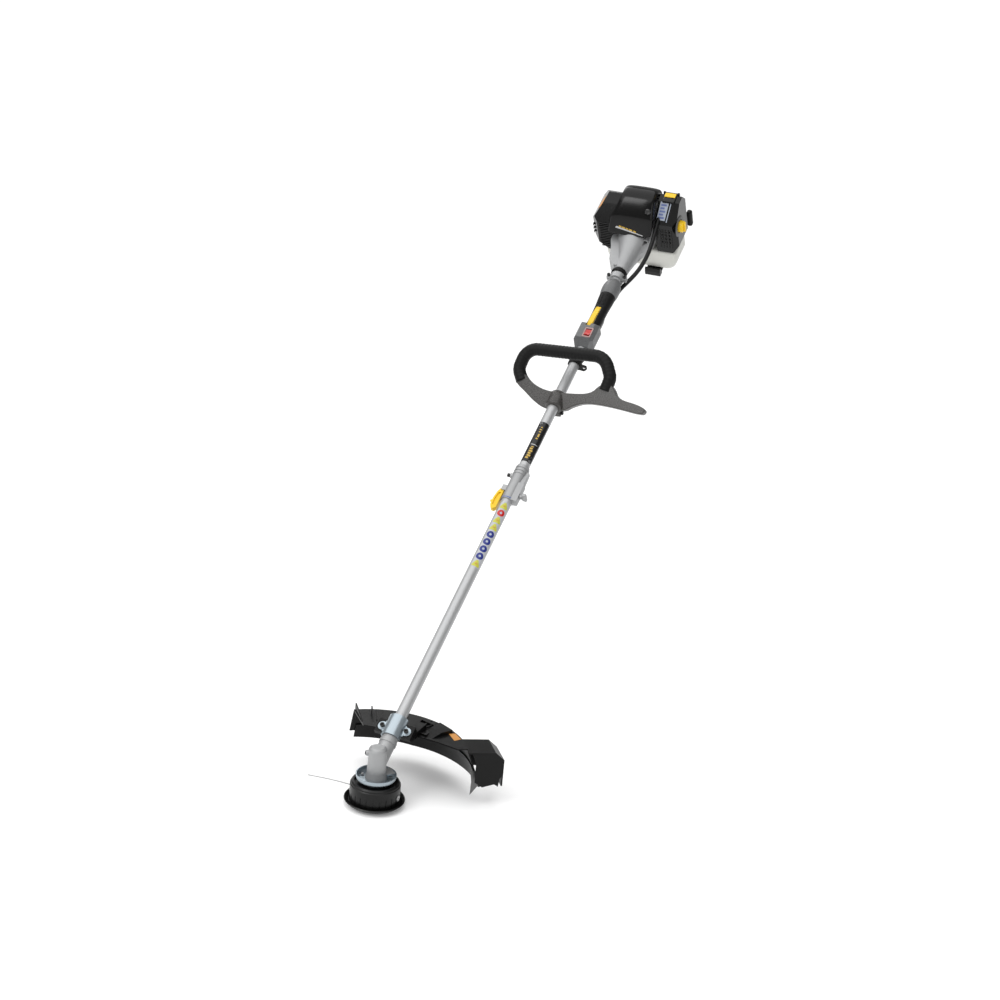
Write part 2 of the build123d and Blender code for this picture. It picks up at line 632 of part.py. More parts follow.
# ---------------------------------------------------------------- coupler
def coupler_body():
    """The sleeve on the upper tube's end: it takes the lower tube, a latch pin, a set screw and a lever."""
    body = rod_x(COUPLER_R, COUPLER_S0, COUPLER_S1)
    for start in (808.0, 817.0, 826.0):
        body += rod_x(COUPLER_RING_R, start, start + 5)
    body += slab_x([(-24, -9), (-24, 9), (-8, 12), (-8, -12)], COUPLER_S0, 784)
    body += slab_y([(784, -9), (784, 9), (820, 5), (820, -5)], -22, -8)
    body += block(LEVER_PIVOT[0] - 6, LEVER_PIVOT[0] + 9, 8, 24, -9, 9)
    body += rod_y(6, 8, 20, x=LATCH_S)
    body -= rod_x(TUBE_R + RUN_GAP, COUPLER_S0 - 6, COUPLER_S1 + 1)
    body -= block(LEVER_PIVOT[0] - 8, LEVER_PIVOT[0] + 5, COUPLER_R + 0.1, 40, -6.3, 6.3)
    body += rod_z(PIN_R, -9, 9, *LEVER_PIVOT)
    body -= rod_y(3, -40, 0, x=KNOB_S)
    body -= rod_y(3.05, TUBE_R - 2, 26, x=LATCH_S)
    return SHAFT * body


def coupler_knob():
    """The T-shaped set screw that stops the lower tube from turning."""
    knob = rod_y(2.95, -28, -TUBE_R - SLIDE_GAP, x=0) + rod_y(6, -31, -24.2, x=0)
    bar = block(-4, 4, -41, -30, -11, 11)
    knob += fillet(bar.edges(), 2.0)
    return SHAFT * Pos(KNOB_S, 0, 0) * knob


def coupler_lever():
    plate = slab_z([(-62, 3), (-57, -2.6), (-8, -3), (0, -3.4), (3.4, 0), (2, 5), (-12, 11), (-32, 14), (-52, 13),
                    (-61, 9)], -6, 6)
    lever = plate + rod_y(3, 11, 18.5, x=-38) + rod_z(3.5, -6, 6)
    lever -= slab_z([(-54, 1), (-12, 1), (-14, 7), (-32, 10), (-50, 9)], 3, 7)
    return SHAFT * Pos(LEVER_PIVOT[0], LEVER_PIVOT[1], 0) * (lever - rod_z(PIN_R + RUN_GAP, -7, 7))


def latch_pin():
    pin = rod_y(3, TUBE_R + 0.5, 22, x=LATCH_S) + rod_y(4.5, 20.2, 28, x=LATCH_S)
    return SHAFT * pin


# ---------------------------------------------------------------- loop handle
LOOP = SHAFT * Pos(LOOP_S, 0, 0) * Rot(-LOOP_ROLL, 0, 0) * Rot(0, LOOP_LEAN, 0)


def loop_path():
    """The grip's centreline in the loop's own plane: y across, z away from the tube."""
    corners = [(96, 32), (115, 67), (101, 120), (-106, 117), (-129, 68), (-122, 38)]
    return FilletPolyline(*[(0, y, z) for y, z in corners], radius=[30, 38, 42, 28])


def loop_handle_frame():
    outline = [
        (108, 27), (60, -5), (25, -25), (-25, -26), (-46, -11), (-80, 1), (-150, -3), (-222, -14),
        (-232, -8), (-232, 0), (-216, 9), (-158, 19), (-143, 38), (-110, 45), (-88, 24), (-40, 19), (22, 19),
        (82, 44),
    ]
    half = LOOP_PLATE / 2
    plate = slab_x(outline, -half, half)
    inner = slab_x([(92, 25), (58, 6), (24, -2), (24, 12), (60, 29), (84, 39)], 3, half + 1)
    plate -= inner
    tube = Rot(0, -LOOP_LEAN, 0)
    clamp = tube * (rod_x(LOOP_CLAMP_R, -26, 18) + block(-26, 16, -13, 13, LOOP_BOLT_Z - 6, -TUBE_R))
    body = plate + clamp + swept(loop_path(), GRIP_CORE_R)
    body -= tube * rod_x(TUBE_R + RUN_GAP, -120, 120)
    body -= tube * block(-60, 60, -1, 1, LOOP_BOLT_Z - 8, -TUBE_R + 2)
    for x in LOOP_BOLTS:
        body -= tube * rod_y(2.5 + SCREW_CLEAR, -20, 20, x=x, z=LOOP_BOLT_Z)
        body -= tube * rod_y(4.3 + 4 * SCREW_CLEAR, -40, -13, x=x, z=LOOP_BOLT_Z)
    return LOOP * body


def loop_handle_grip():
    path = loop_path()
    return LOOP * (swept(path, GRIP_R) - swept(path, GRIP_CORE_R) - slab_x(
        [(108, 27), (60, -5), (-150, -3), (-143, 38), (-110, 45), (0, 60), (82, 44)], -20, 20))


def harness_clip():
    start, end = HARNESS_S, HARNESS_S + HARNESS_LENGTH
    body = rod_x(HARNESS_R, start, end) + rod_x(HARNESS_R + 1.5, start + 26, end)
    body += block(start + 9, end - 8, -7, 7, -HARNESS_R - 8, -HARNESS_R + 4)
    body += slab_x([(-12, -14), (-25, -15), (-32, -8), (-31, 1), (-12, 6)], start, start + EYELET_PLATE)
    body -= rod_x(TUBE_R + RUN_GAP, start - 1, end + 1)
    body -= rod_x(EYELET_HOLE_R, start - 1, start + EYELET_PLATE + 1, EYELET_Y, EYELET_N)
    body -= block(start - 1, end + 1, -1.2, 1.2, -HARNESS_R - 9, -TUBE_R + 2)
    return SHAFT * (body - rod_y(2.5, -8, 8, x=start + 18, z=-HARNESS_R - 4))


# ---------------------------------------------------------------- rear handle
def handle_body():
    """Both halves of the rear handle as one: switch box, grip core, trigger cheeks and dome."""
    section = [(-25, -9), (-25, 19), (-17, SWITCH_TOP), (17, SWITCH_TOP), (25, 19), (25, -9), (15, -24), (-15, -24)]
    box = slab_x(section, BOX_S0, BOX_S1)
    nose = slab_y([(BOX_S0 - 1, 40), (BOX_S0 + 16, 40), (BOX_S0 - 1, 12)], -30, 30)
    for side in (1, -1):
        nose += slab_z([(BOX_S0 - 1, side * 17), (BOX_S0 + 20, side * 26), (BOX_S0 - 1, side * 30)], -40, 50)
    tail = slab_y([(BOX_S1 + 1, 40), (BOX_S1 - 12, 40), (BOX_S1 - 4, 24), (BOX_S1 + 1, 20)], -30, 30)
    box = box - nose - tail
    core = rod_x(HANDLE_CORE_R, BOX_S1 - 5, DOME_S0 + 6)
    cheeks = slab_y([(BOX_S1 - 14, -10), (1366, -10), (1366, -20), (1352, -27), (BOX_S1 - 14, -26)], -10, 10)
    dome = turned_x([
        (DOME_S0, 14), (DOME_S0, 20.6), (DOME_S0 + 7, 22.3), (DOME_S0 + 15, 23.2), (DOME_S0 + 23, DOME_R),
        (DOME_S0 + 32, 23), (DOME_S0 + 40, 21.4), (DOME_S0 + 48, 18.6), (DOME_S0 + 53, 16), (DOME_S1, 14.6),
        (DOME_S1, 14)])
    return box + core + cheeks + dome + rod_x(14.5, DOME_S0 - 2, DOME_S1)


CONDUIT_ROUTE = [(1448, -12, -15.6), (1474, -14, -20), (1500, -24, -19), (1530, -40, -9), (1564, -52, 7),
                 (1600, -57, 25), (1634, -57, 44), (1668, -57, 60)]


def conduit_path():
    """The throttle cable's route from the rear handle to the carburettor."""
    points = [Vector(*p) for p in CONDUIT_ROUTE]
    radii = []
    for before, here, after in zip(points, points[1:], points[2:]):
        turn = (here - before).get_angle(after - here)
        shorter = min((here - before).length, (after - here).length)
        radii.append(0.45 * shorter / tan(radians(turn / 2)))
    print("conduit radii", [round(r) for r in radii])
    return FilletPolyline(*points, radius=radii)


def throttle_conduit():
    return SHAFT * swept(conduit_path(), CONDUIT_R)


HANDLE_SCREWS = ((BOX_S0 + 24, -19.0), (BOX_S1 - 20, -19.0))


def handle_cavities():
    """What the two halves leave out: the tube, the levers' slots, the switch well and the screw holes."""
    cut = rod_x(TUBE_R + RUN_GAP, BOX_S0 - 2, DOME_S1 + 2)
    cut += block(TRIGGER_PIVOT[0] - 9, 1361, -6.4, 6.4, -40, -14.5)
    cut += block(LOCKOUT_PIVOT[0] - 9, 1363, -6.2, 6.2, 14.2, 50)
    cut += block(SWITCH_S - 12, SWITCH_S + 12, SWITCH_Y - SWITCH_HALF - 0.3, SWITCH_Y + SWITCH_HALF + 0.3,
                 SWITCH_TOP - 10, 60)
    cut += rod_y(PIN_R, -14, 14, x=TRIGGER_PIVOT[0], z=TRIGGER_PIVOT[1])
    cut += rod_y(PIN_R, -14, 14, x=LOCKOUT_PIVOT[0], z=LOCKOUT_PIVOT[1])
    cut += rod_y(PIN_R, -20, 14, x=SWITCH_S, z=SWITCH_TOP - 4)
    for x, z in HANDLE_SCREWS:
        cut += rod_y(2, -30, 11, x=x, z=z) + rod_y(4, -30, -13, x=x, z=z)
    return cut


def handle_half(side):
    """One half of the rear handle: side is +1 or -1 along y."""
    half = block(BOX_S0 - 5, DOME_S1 + 5, 0, side * 60, -60, 60) if side > 0 else block(
        BOX_S0 - 5, DOME_S1 + 5, -60, 0, -60, 60)
    return SHAFT * ((handle_body() & half) - handle_cavities())


def handle_shell_left():
    return handle_half(-1) - SHAFT * swept(conduit_path(), CONDUIT_R + RUN_GAP)


def handle_shell_right():
    return handle_half(1)


def grip_sleeve():
    bore = HANDLE_CORE_R + 2 * RUN_GAP
    profile = [(BOX_S1 + 1.2, bore), (BOX_S1 + 1.2, 19), (1318, 18), (1345, 17.6), (1376, 18.4),
               (1398, 20), (DOME_S0, 20.8), (DOME_S0, bore)]
    sleeve = turned_x(profile)
    sleeve -= block(BOX_S1 - 5, 1364, -6.5, 6.5, 10, 30)
    sleeve -= slab_y([(BOX_S1 - 5, -8), (1367, -8), (1367, -30), (BOX_S1 - 5, -30)], -10.2, 10.2)
    return SHAFT * sleeve


def throttle_trigger():
    x, z = TRIGGER_PIVOT
    blade = slab_y([
        (x - 5, z + 1), (x - 2, z + 3.5), (x + 6, z + 2.5), (x + 30, z - 3), (x + 54, z - 7), (x + 58, z - 11),
        (x + 55, z - 16), (x + 48, z - 17), (x + 34, z - 13), (x + 18, z - 10), (x, z - 6), (x - 5, z - 3)], -6, 6)
    return SHAFT * (blade + rod_y(4, -6, 6, x=x, z=z) + rod_y(PIN_R - RUN_GAP, -9, 9, x=x, z=z))


def lockout_lever():
    x, z = LOCKOUT_PIVOT
    bar = slab_y([
        (x - 5, z + 1), (x - 3, z + 7), (x + 8, z + 9.4), (x + 36, z + 8.2), (x + 60, z + 4.6), (x + 69, z + 1.5),
        (x + 65, z - 0.2), (x + 32, z + 2.2), (x + 8, z + 3), (x + 4, z - 2.6), (x - 4, z - 2.6)], -5.8, 5.8)
    return SHAFT * (bar + rod_y(PIN_R - RUN_GAP, -10, 10, x=x, z=z))


def stop_switch():
    top = SWITCH_TOP - 4
    rocker = slab_y([
        (SWITCH_S - SWITCH_REACH, top + 7), (SWITCH_S - SWITCH_REACH, top), (SWITCH_S - 4, top - 4),
        (SWITCH_S + 4, top - 4), (SWITCH_S + SWITCH_REACH, top), (SWITCH_S + SWITCH_REACH, top + 3.4),
        (SWITCH_S, top + 3.8)], SWITCH_Y - SWITCH_HALF, SWITCH_Y + SWITCH_HALF)
    pin = rod_y(PIN_R - RUN_GAP, SWITCH_Y - SWITCH_HALF - 2.5, SWITCH_Y + SWITCH_HALF + 2.5, x=SWITCH_S, z=top)
    return SHAFT * (rocker + pin)


# ---------------------------------------------------------------- clutch and crank
def clutch_housing():
    """The bell from the neck clamp to the fan, with the clutch bearing's seat inside it."""
    cavity = DRUM_R + 1.6
    bell = turned_x([
        (NECK_S0, 0), (NECK_S0, NECK_R), (1494, NECK_R), (1497, NECK_R - 1.8), (CONE_S0, NECK_R - 1.8),
        (CONE_S0 + 2, 20), (1530, 22), (1560, 27.5), (1590, 36), (1608, 42.5), (1622, 46.5), (1634, CONE_R),
        (FAN_S1, CONE_R), (FAN_S1, 0)])
    bell += slab_z([(1514, 0), (1514, 17), (1532, 35), (1575, 46), (1602, 56), (1621, 56), (1623, 49.6),
                    (1636, 49.6), (1636, 0)], -20, 20)
    for side in (1, -1):
        y0, y1 = sorted((side * 10, side * 26))
        bell += block(1481, 1493, y0, y1, -6, 6)
        bell -= rod_z(2.5, -10, 10, 1487, side * 21.5)
    bell += rod_x(8, 1606, FAN_S0, *BELL_BOLTS[1])
    for y, z in BELL_BOLTS:
        bell -= rod_x(5.2, 1596, 1616, y, z) + rod_x(2.5, 1596, 1638, y, z)
    bell -= Pos(1577, -44, -8) * Sphere(18)
    bell -= turned_x([
        (FAN_S1 + 1, 0), (FAN_S1 + 1, CONE_R - 3), (FAN_S0 - 6, CONE_R - 3), (DRUM_S1 + 3, cavity),
        (DRUM_S0 - 3, cavity), (DRUM_S0 - 3, 14), (1576, 14), (1576, 16), (1562, 16), (1562, 10), (TUBE_END, 10),
        (TUBE_END, TUBE_R + RUN_GAP), (NECK_S0 - 1, TUBE_R + RUN_GAP), (NECK_S0 - 1, 0)])
    return SHAFT * (bell - block(NECK_S0 - 1, 1500, -30, 30, -1, 1))


def clutch_drum():
    drum = turned_x([
        (DRUM_HUB_S0, 0), (DRUM_HUB_S0, DRUM_HUB_R - 0.02), (DRUM_S0, DRUM_HUB_R), (DRUM_S0, DRUM_R), (DRUM_S1, DRUM_R),
        (DRUM_S1, DRUM_R - 2), (DRUM_S0 + 3, DRUM_R - 2), (DRUM_S0 + 3, 0)])
    return SHAFT * drum


SHOE_S0, SHOE_S1 = DRUM_S0 + 5.0, DRUM_S1 - 2.0


def clutch_shoes():
    """Two curved shoes that fly out against the drum, joined by their spider."""
    ring = ring_x(21, DRUM_R - 3, SHOE_S0, SHOE_S1)
    shoes = ring - block(SHOE_S0 - 1, SHOE_S1 + 1, -60, 60, -3.5, 3.5)
    spider = rod_x(13, SHOE_S0, SHOE_S1) + block(SHOE_S0, SHOE_S1, -5, 5, -22.5, 22.5)
    return SHAFT * (shoes + spider - rod_x(CRANK_R, SHOE_S0 - 1, SHOE_S1 + 1))


def flywheel():
    """The magneto flywheel, whose vanes blow air over the cylinder."""
    wheel = rod_x(44, 1652, 1660) + rod_x(18, 1636, 1666)
    for index in range(14):
        vane = block(1642, 1653, 24, 43, -1.2, 1.2)
        wheel += Rot(360 / 14 * index, 0, 0) * vane
    return SHAFT * (wheel - rod_x(CRANK_R, 1630, 1670))


def crankshaft():
    shaft = rod_x(CRANK_R, SHOE_S0, STARTER_S0 + 12)
    webs = rod_x(WEB_R, 1690, 1698) + rod_x(WEB_R, 1710, 1718) - block(1680, 1730, -30, 30, 14, 30)
    shaft -= rod_x(CRANK_R + 1, 1698, 1710)
    pin = rod_x(5, 1697, 1711, 0, 8)
    return SHAFT * (shaft + webs + pin)


CRANK_BEARINGS = ((1677.0, 1686.0), (1721.0, 1730.0))


def engine_block():
    case = slab_x([(-36, -22), (-22, -36), (22, -36), (36, -22), (36, 26), (26, 35), (-26, 35), (-36, 26)],
                  CASE_S0, CASE_S1)
    body = case + rod_z(21, 30, FIN_TOP + 5, CYLINDER_S, 0)
    height = 42.0
    while height < FIN_TOP:
        body += block(CYLINDER_S - 21, CYLINDER_S + 21, -33, 33, height, height + FIN_T)
        height += FIN_PITCH
    body += block(CYLINDER_S - 14, CYLINDER_S + 14, -42, 41, 50, 78)
    body -= rod_z(16, 10, FIN_TOP, CYLINDER_S, 0)
    body -= rod_x(CHAMBER_CRANK_R, 1687, 1720)
    for start, end in CRANK_BEARINGS:
        body -= rod_x(13, start, end)
    body -= rod_x(CRANK_R + WORK_GAP, CASE_S0 - 1, CASE_S1 + 1)
    body -= rod_y(8, -43, -15, x=CYLINDER_S, z=64)
    return SHAFT * (body - rod_y(8, 15, 42, x=CYLINDER_S, z=64))


def powerhead_bearings():
    pieces = [lay_along_shaft(bearing(CRANK_R + 0.02, 13, start, end)) for start, end in CRANK_BEARINGS]
    pieces.append(lay_along_shaft(bearing(DRUM_HUB_R, 16.0, 1563, 1575)))
    return group(pieces + [drive_bush(start) for start in UPPER_BUSHES])


# ---------------------------------------------------------------- engine covers
def shell_of(outline, y0, y1, wall, open_side):
    """A cover from a side outline, hollow and open on one side: 'low' or 'high' along y, or 'floor'."""
    outer = slab_y(outline, y0, y1)
    cx = sum(p[0] for p in outline) / len(outline)
    cz = sum(p[1] for p in outline) / len(outline)
    width = max(p[0] for p in outline) - min(p[0] for p in outline)
    height = max(p[1] for p in outline) - min(p[1] for p in outline)
    shrink_x, shrink_z = 1 - 2 * wall / width, 1 - 2 * wall / height
    inner = [(cx + (x - cx) * shrink_x, cz + (z - cz) * shrink_z) for x, z in outline]
    low = y0 - 1 if open_side == "low" else y0 + wall
    high = y1 + 1 if open_side == "high" else y1 - wall
    return outer - slab_y(inner, low, high)


def engine_shroud():
    def round_box(outline, half, corner):
        body = slab_y(outline, -half, half)
        return chamfer(body.edges().filter_by(lambda e: abs(e.center().Y) > half - 1 and e.center().Z > 60), corner)

    cover = round_box([(1606, 40), (1628, 77), (1668, 117), (1698, 121), (1730, 98), (1733, 38)], SHROUD_Y, 7)
    cover -= round_box([(1611, 36), (1631, 75.5), (1669.5, 114), (1697.5, 118), (1727.5, 96.5), (1730.5, 36)],
                       SHROUD_Y - SHELL_T, 6)
    cover -= rod_x(CONE_R + 0.5, 1590, FAN_S1 + 2)
    for side in (-1, 1):
        y0, y1 = sorted((side * 40, side * 60))
        cover -= block(CYLINDER_S - 20, CYLINDER_S + 20, y0, y1, 44, 86)
    bulb = Pos(PRIMER_S, PRIMER_Y, PRIMER_N) * Rot(0, -45, 0)
    return SHAFT * (cover + bulb * rod_z(PRIMER_R + 3, -5, 2) - bulb * rod_z(PRIMER_R + 0.5, -9, 9))


def muffler():
    can = block(1668, 1712, 58, 84, 14, 74)
    can = fillet(can.edges().filter_by(Axis.Y), 8)
    return SHAFT * (can + rod_y(9, 41, 60, x=CYLINDER_S, z=64) - rod_y(6, 40, 56, x=CYLINDER_S, z=64))


def muffler_cover():
    y0, y1 = MUFFLER_COVER_Y

    def faceted(inset):
        """The cover's outside, or its inside when inset is the wall."""
        i = inset
        body = slab_y([(1626 + i, -40 + i), (1626 + i, 50 - i / 2), (1664 + i, 84 - i), (1698, 92 - i),
                       (1728 - i, 68 - i), (1732 - i, -40 + i)], y0 - (1 if i else 0), y1 - i)
        body -= slab_x([(y1 + 1, 50 - i), (y1 + 1, 100), (y1 - 29 - i, 100), (y1 - 29 - i, 92 - i),
                        (y1 - i, 50 - i)], 1600, 1750)
        body -= slab_x([(y1 + 1, -8 + i), (y1 + 1, -41), (y1 - 42 - i, -41)], 1600, 1750)
        return body - slab_z([(1625, y1 + 1), (1625, y1 - 16 - i), (1626 + 17 + i, y1 + 1)], -50, 130)

    cover = faceted(0) - faceted(SHELL_T)
    for index in range(9):
        z = -24 + index * 8.5
        if not 2 < index < 6:
            cover -= block(1620, 1632, y0 + 6, y1 - 20, z, z + 4)
    cover -= block(1620, 1645, y0 - 5, y0 + 8, -24, 24)
    return SHAFT * (cover - rod_x(CONE_R + 2, 1600, FAN_S1 + 2))


def fuel_tank():
    s0, s1 = TANK_S
    y0, y1 = TANK_Y
    n0, n1 = TANK_N

    def round_box(inset, top):
        box = block(s0 + inset, s1 - inset, y0 + inset, y1 - inset, n0 + inset, n1 - top)
        box = fillet(box.edges().filter_by(Axis.X).group_by(Axis.Z)[0], TANK_ROUND - inset)
        box = fillet(box.edges().filter_by(Axis.X).group_by(Axis.Z)[-1], 9 - inset)
        return fillet(box.edges().filter_by(Axis.Y), 7 - inset)

    tank = round_box(0, 0) + rod_x(17, s1 - 2, s1 + 6, CAP_Y, CAP_N)
    tank = tank - round_box(TANK_WALL, 8) - rod_x(13, s1 - 10, s1 + 8, CAP_Y, CAP_N)
    return SHAFT * (tank - rod_x(CONE_R + 0.5, 1600, 1680))


def fuel_cap():
    s1 = TANK_S[1]
    cap = rod_x(12.7, s1 - 2, s1 + 6.5, CAP_Y, CAP_N) + rod_x(19, s1 + 6.3, s1 + 16, CAP_Y, CAP_N)
    cap += block(s1 + 15, s1 + 21, CAP_Y - 14, CAP_Y + 14, CAP_N - 3, CAP_N + 3)
    return SHAFT * cap


def stand_foot():
    """The foot under the tank: a plate with a turned-up toe at each side."""
    s0, s1 = TANK_S
    n0 = TANK_N[0]
    profile = [(s0 - 16, n0 - 14), (s0 - 2, n0 - 14), (s0, n0 - 8), (s1 - 4, n0 - 8), (s1 - 4, n0 - 4),
               (s1 - 20, n0 - 4), (s1 - 20, n0), (s0 + 20, n0), (s0 + 20, n0 - 4), (s0 - 4, n0 - 4),
               (s0 - 8, n0 + 6), (s0 - 13, n0 + 6), (s0 - 16, n0 - 2)]
    return SHAFT * (slab_y(profile, -56, 60) - block(s0 - 30, s0 + 16, -14, 42, n0 - 20, n0 + 10))


def starter_housing():
    profile = [(STARTER_S0, STARTER_R - 3), (STARTER_S0, STARTER_R), (STARTER_S1 - 14, STARTER_R),
               (STARTER_S1 - 3, STARTER_R - 10), (STARTER_S1, STARTER_R - 20), (STARTER_S1, 0), (STARTER_S1 - 3, 0),
               (STARTER_S1 - 3, STARTER_R - 22), (STARTER_S1 - 6, STARTER_R - 12), (STARTER_S1 - 15, STARTER_R - 3)]
    cover = turned_x(profile)
    cover += rod_x(5, STARTER_S0 + 14, STARTER_S1 - 2)
    cover += rod_y(9, STARTER_HANDLE_Y + 1, -50, x=STARTER_S0 + 18, z=ROPE_N)
    cover -= rod_y(3, -100, -40, x=STARTER_S0 + 18, z=ROPE_N)
    for index in range(12):
        slot = block(STARTER_S1 - 20, STARTER_S1 + 5, 20, 40, -3, 3)
        cover -= Rot(30 * index + 15, 0, 0) * slot
    cover += ring_x(CRANK_R + WORK_GAP + 3, STARTER_R, STARTER_S0 - 1, STARTER_S0 + 1.5) - block(
        STARTER_S0 - 2, STARTER_S0 + 3, -100, 100, 36.5, 100)
    return SHAFT * cover


def starter_pulley():
    s0 = STARTER_S0 + 15
    wheel = rod_x(PULLEY_R + 4, s0, s0 + 2.5) + rod_x(PULLEY_R, s0, s0 + 11) + rod_x(PULLEY_R + 4, s0 + 8.5, s0 + 11)
    return SHAFT * (wheel - rod_x(5 + RUN_GAP, s0 - 1, s0 + 12))


def starter_handle():
    x, y, z = STARTER_S0 + 18, STARTER_HANDLE_Y, ROPE_N
    grip = block(x - 8, x + 8, y - 17, y - 3, z - 24, z + 24)
    grip = fillet(grip.edges(), 5.5)
    return SHAFT * (grip + rod_y(6, y - 6, y, x=x, z=z) + rod_y(2.4, y - 1, y + 30, x=x, z=z))


def carburettor():
    body = block(1686, 1720, -62, -42, 46, 82) + block(1671, 1688, -61, -53, 54, 66)
    return SHAFT * (body - rod_y(8, -63, -41, x=CYLINDER_S, z=64))


def air_filter_cover():
    y0, y1 = FILTER_Y

    def faceted(inset):
        i = inset
        body = slab_y([(1650 + i, -44 + i), (1650 + i, 48 - i / 2), (1688 + i / 2, 95 - i), (1712 - i / 2, 98 - i),
                       (1731 - i, 76 - i), (1731 - i, -44 + i)], y0 + i, y1 + (1 if i else 0))
        body -= slab_z([(1649, y0 - 1), (1649, y0 + 12 + i), (1662 + i, y0 - 1)], -60, 130)
        return body - slab_x([(y0 - 1, -24 + i), (y0 - 1, -50), (y0 + 20 + i, -50)], 1640, 1740)

    cover = faceted(0) - faceted(SHELL_T)
    for row in range(4):
        for column in range(3):
            y = y1 - 18 - 9 * column
            cover -= block(1645, 1656, y - 3, y + 3, -12 + 12 * row, -6 + 12 * row)
    x, z = LATCH_AXIS
    for start in (LATCH_Y[0] - 5.2, LATCH_Y[1] + 0.2):
        cover += rod_y(3, start, start + 5, x=x, z=z) + block(x - 3, x + 3, start, start + 5, z - 7, z)
    cover += rod_y(PIN_R, LATCH_Y[0] - 3, LATCH_Y[1] + 3, x=x, z=z)
    cover -= rod_y(3.05, y0 - 1, y0 + 4, x=CHOKE_S, z=CHOKE_N)
    cover -= rod_x(CONE_R + 3, 1600, FAN_S1 + 2)
    cover -= block(1725, 1740, y1 - 8, y1 + 1, -30, 30)
    return SHAFT * (cover - swept(conduit_path(), CONDUIT_R + SLIDE_GAP))


def filter_latch():
    """The clip over the filter cover's top edge, hinged on its rear side."""
    x, z = LATCH_AXIS
    clip = slab_y([(1687, 95.8), (1711, 98.7), (x, z - 2.6), (x, z + 2.6), (1708, 102), (1687, 99),
                   (1683.5, 95), (1685.5, 93.6)], *LATCH_Y)
    return SHAFT * (clip + rod_y(3, *LATCH_Y, x=x, z=z) - rod_y(PIN_R + RUN_GAP, LATCH_Y[0] - 1, LATCH_Y[1] + 1, x=x, z=z))


def choke_knob():
    y0 = FILTER_Y[0]
    knob = rod_y(15, y0 - 14, y0 - SLIDE_GAP, x=CHOKE_S, z=CHOKE_N)
    knob = chamfer(knob.edges().group_by(Axis.Y)[0], 2.5)
    knob += block(CHOKE_S - 4, CHOKE_S + 4, y0 - 18, y0 - 13, CHOKE_N - 13, CHOKE_N + 13)
    return SHAFT * (knob + rod_y(3, y0 - 1, y0 + 8, x=CHOKE_S, z=CHOKE_N))


def primer_bulb():
    dome = rod_z(PRIMER_R, -6, 4) + Pos(0, 0, 4) * (Sphere(PRIMER_R) & rod_z(PRIMER_R + 1, 0, 6))
    return SHAFT * Pos(PRIMER_S, PRIMER_Y, PRIMER_N) * Rot(0, -45, 0) * dome


def powerhead_screws():
    pieces = [SHAFT * Pos(1616, y, z) * Rot(0, -90, 0) * cap_screw(20) for y, z in BELL_BOLTS]
    for side in (1, -1):
        pieces.append(SHAFT * Pos(1487, side * 21.5, 6) * cap_screw(12))
    for x, z in HANDLE_SCREWS:
        pieces.append(SHAFT * Pos(x, -13, z) * Rot(90, 0, 0) * cap_screw(22, 2.0, 3.8, 3.5))
    for x in LOOP_BOLTS:
        pieces.append(LOOP * Rot(0, -LOOP_LEAN, 0) * Pos(x, -13, LOOP_BOLT_Z) * Rot(90, 0, 0) * cap_screw(26))
    return group(pieces)


NODES = {
    "bump_knob": bump_knob, "skid_dish": skid_dish, "head_housing": head_housing, "line_spool": line_spool,
    "line_winding": line_winding, "line_eyelets": line_eyelets, "cutting_line": cutting_line,
    "drive_flange": drive_flange, "bump_spring": bump_spring, "bevel_gear": bevel_gear,
    "output_spindle": output_spindle, "bevel_pinion": bevel_pinion, "gear_case": gear_case,
    "attachment_bearings": attachment_bearings, "wrap_guard_cup": wrap_guard_cup,
    "attachment_screws": attachment_screws, "guard_bracket": guard_bracket, "guard_shield": guard_shield,
    "guard_extension": guard_extension, "line_cutter": line_cutter, "lower_tube": lower_tube,
    "lower_drive_shaft": lower_drive_shaft, "coupler_body": coupler_body, "coupler_knob": coupler_knob,
    "coupler_lever": coupler_lever, "latch_pin": latch_pin, "upper_tube": upper_tube,
    "upper_drive_shaft": upper_drive_shaft, "loop_handle_frame": loop_handle_frame,
    "loop_handle_grip": loop_handle_grip, "harness_clip": harness_clip, "handle_shell_left": handle_shell_left,
    "handle_shell_right": handle_shell_right, "grip_sleeve": grip_sleeve, "throttle_trigger": throttle_trigger,
    "lockout_lever": lockout_lever, "stop_switch": stop_switch, "throttle_conduit": throttle_conduit,
    "clutch_housing": clutch_housing, "clutch_drum": clutch_drum, "clutch_shoes": clutch_shoes,
    "flywheel": flywheel, "crankshaft": crankshaft, "engine_block": engine_block,
    "powerhead_bearings": powerhead_bearings, "engine_shroud": engine_shroud, "muffler": muffler,
    "muffler_cover": muffler_cover, "fuel_tank": fuel_tank, "fuel_cap": fuel_cap, "stand_foot": stand_foot,
    "starter_housing": starter_housing, "starter_pulley": starter_pulley, "starter_handle": starter_handle,
    "carburettor": carburettor, "air_filter_cover": air_filter_cover, "filter_latch": filter_latch,
    "choke_knob": choke_knob, "primer_bulb": primer_bulb, "powerhead_screws": powerhead_screws,
}

if __name__ == "__main__":
    os.makedirs("parts", exist_ok=True)
    for name, make in NODES.items():
        export_step(make(), f"parts/{name}.step")
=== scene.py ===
"""A petrol string trimmer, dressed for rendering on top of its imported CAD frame."""

import json
import logging
import math
from dataclasses import dataclass, field
from enum import Enum
from functools import cache
from typing import Callable, Iterable, Optional, Sequence

import bpy
from mathutils import Matrix, Vector


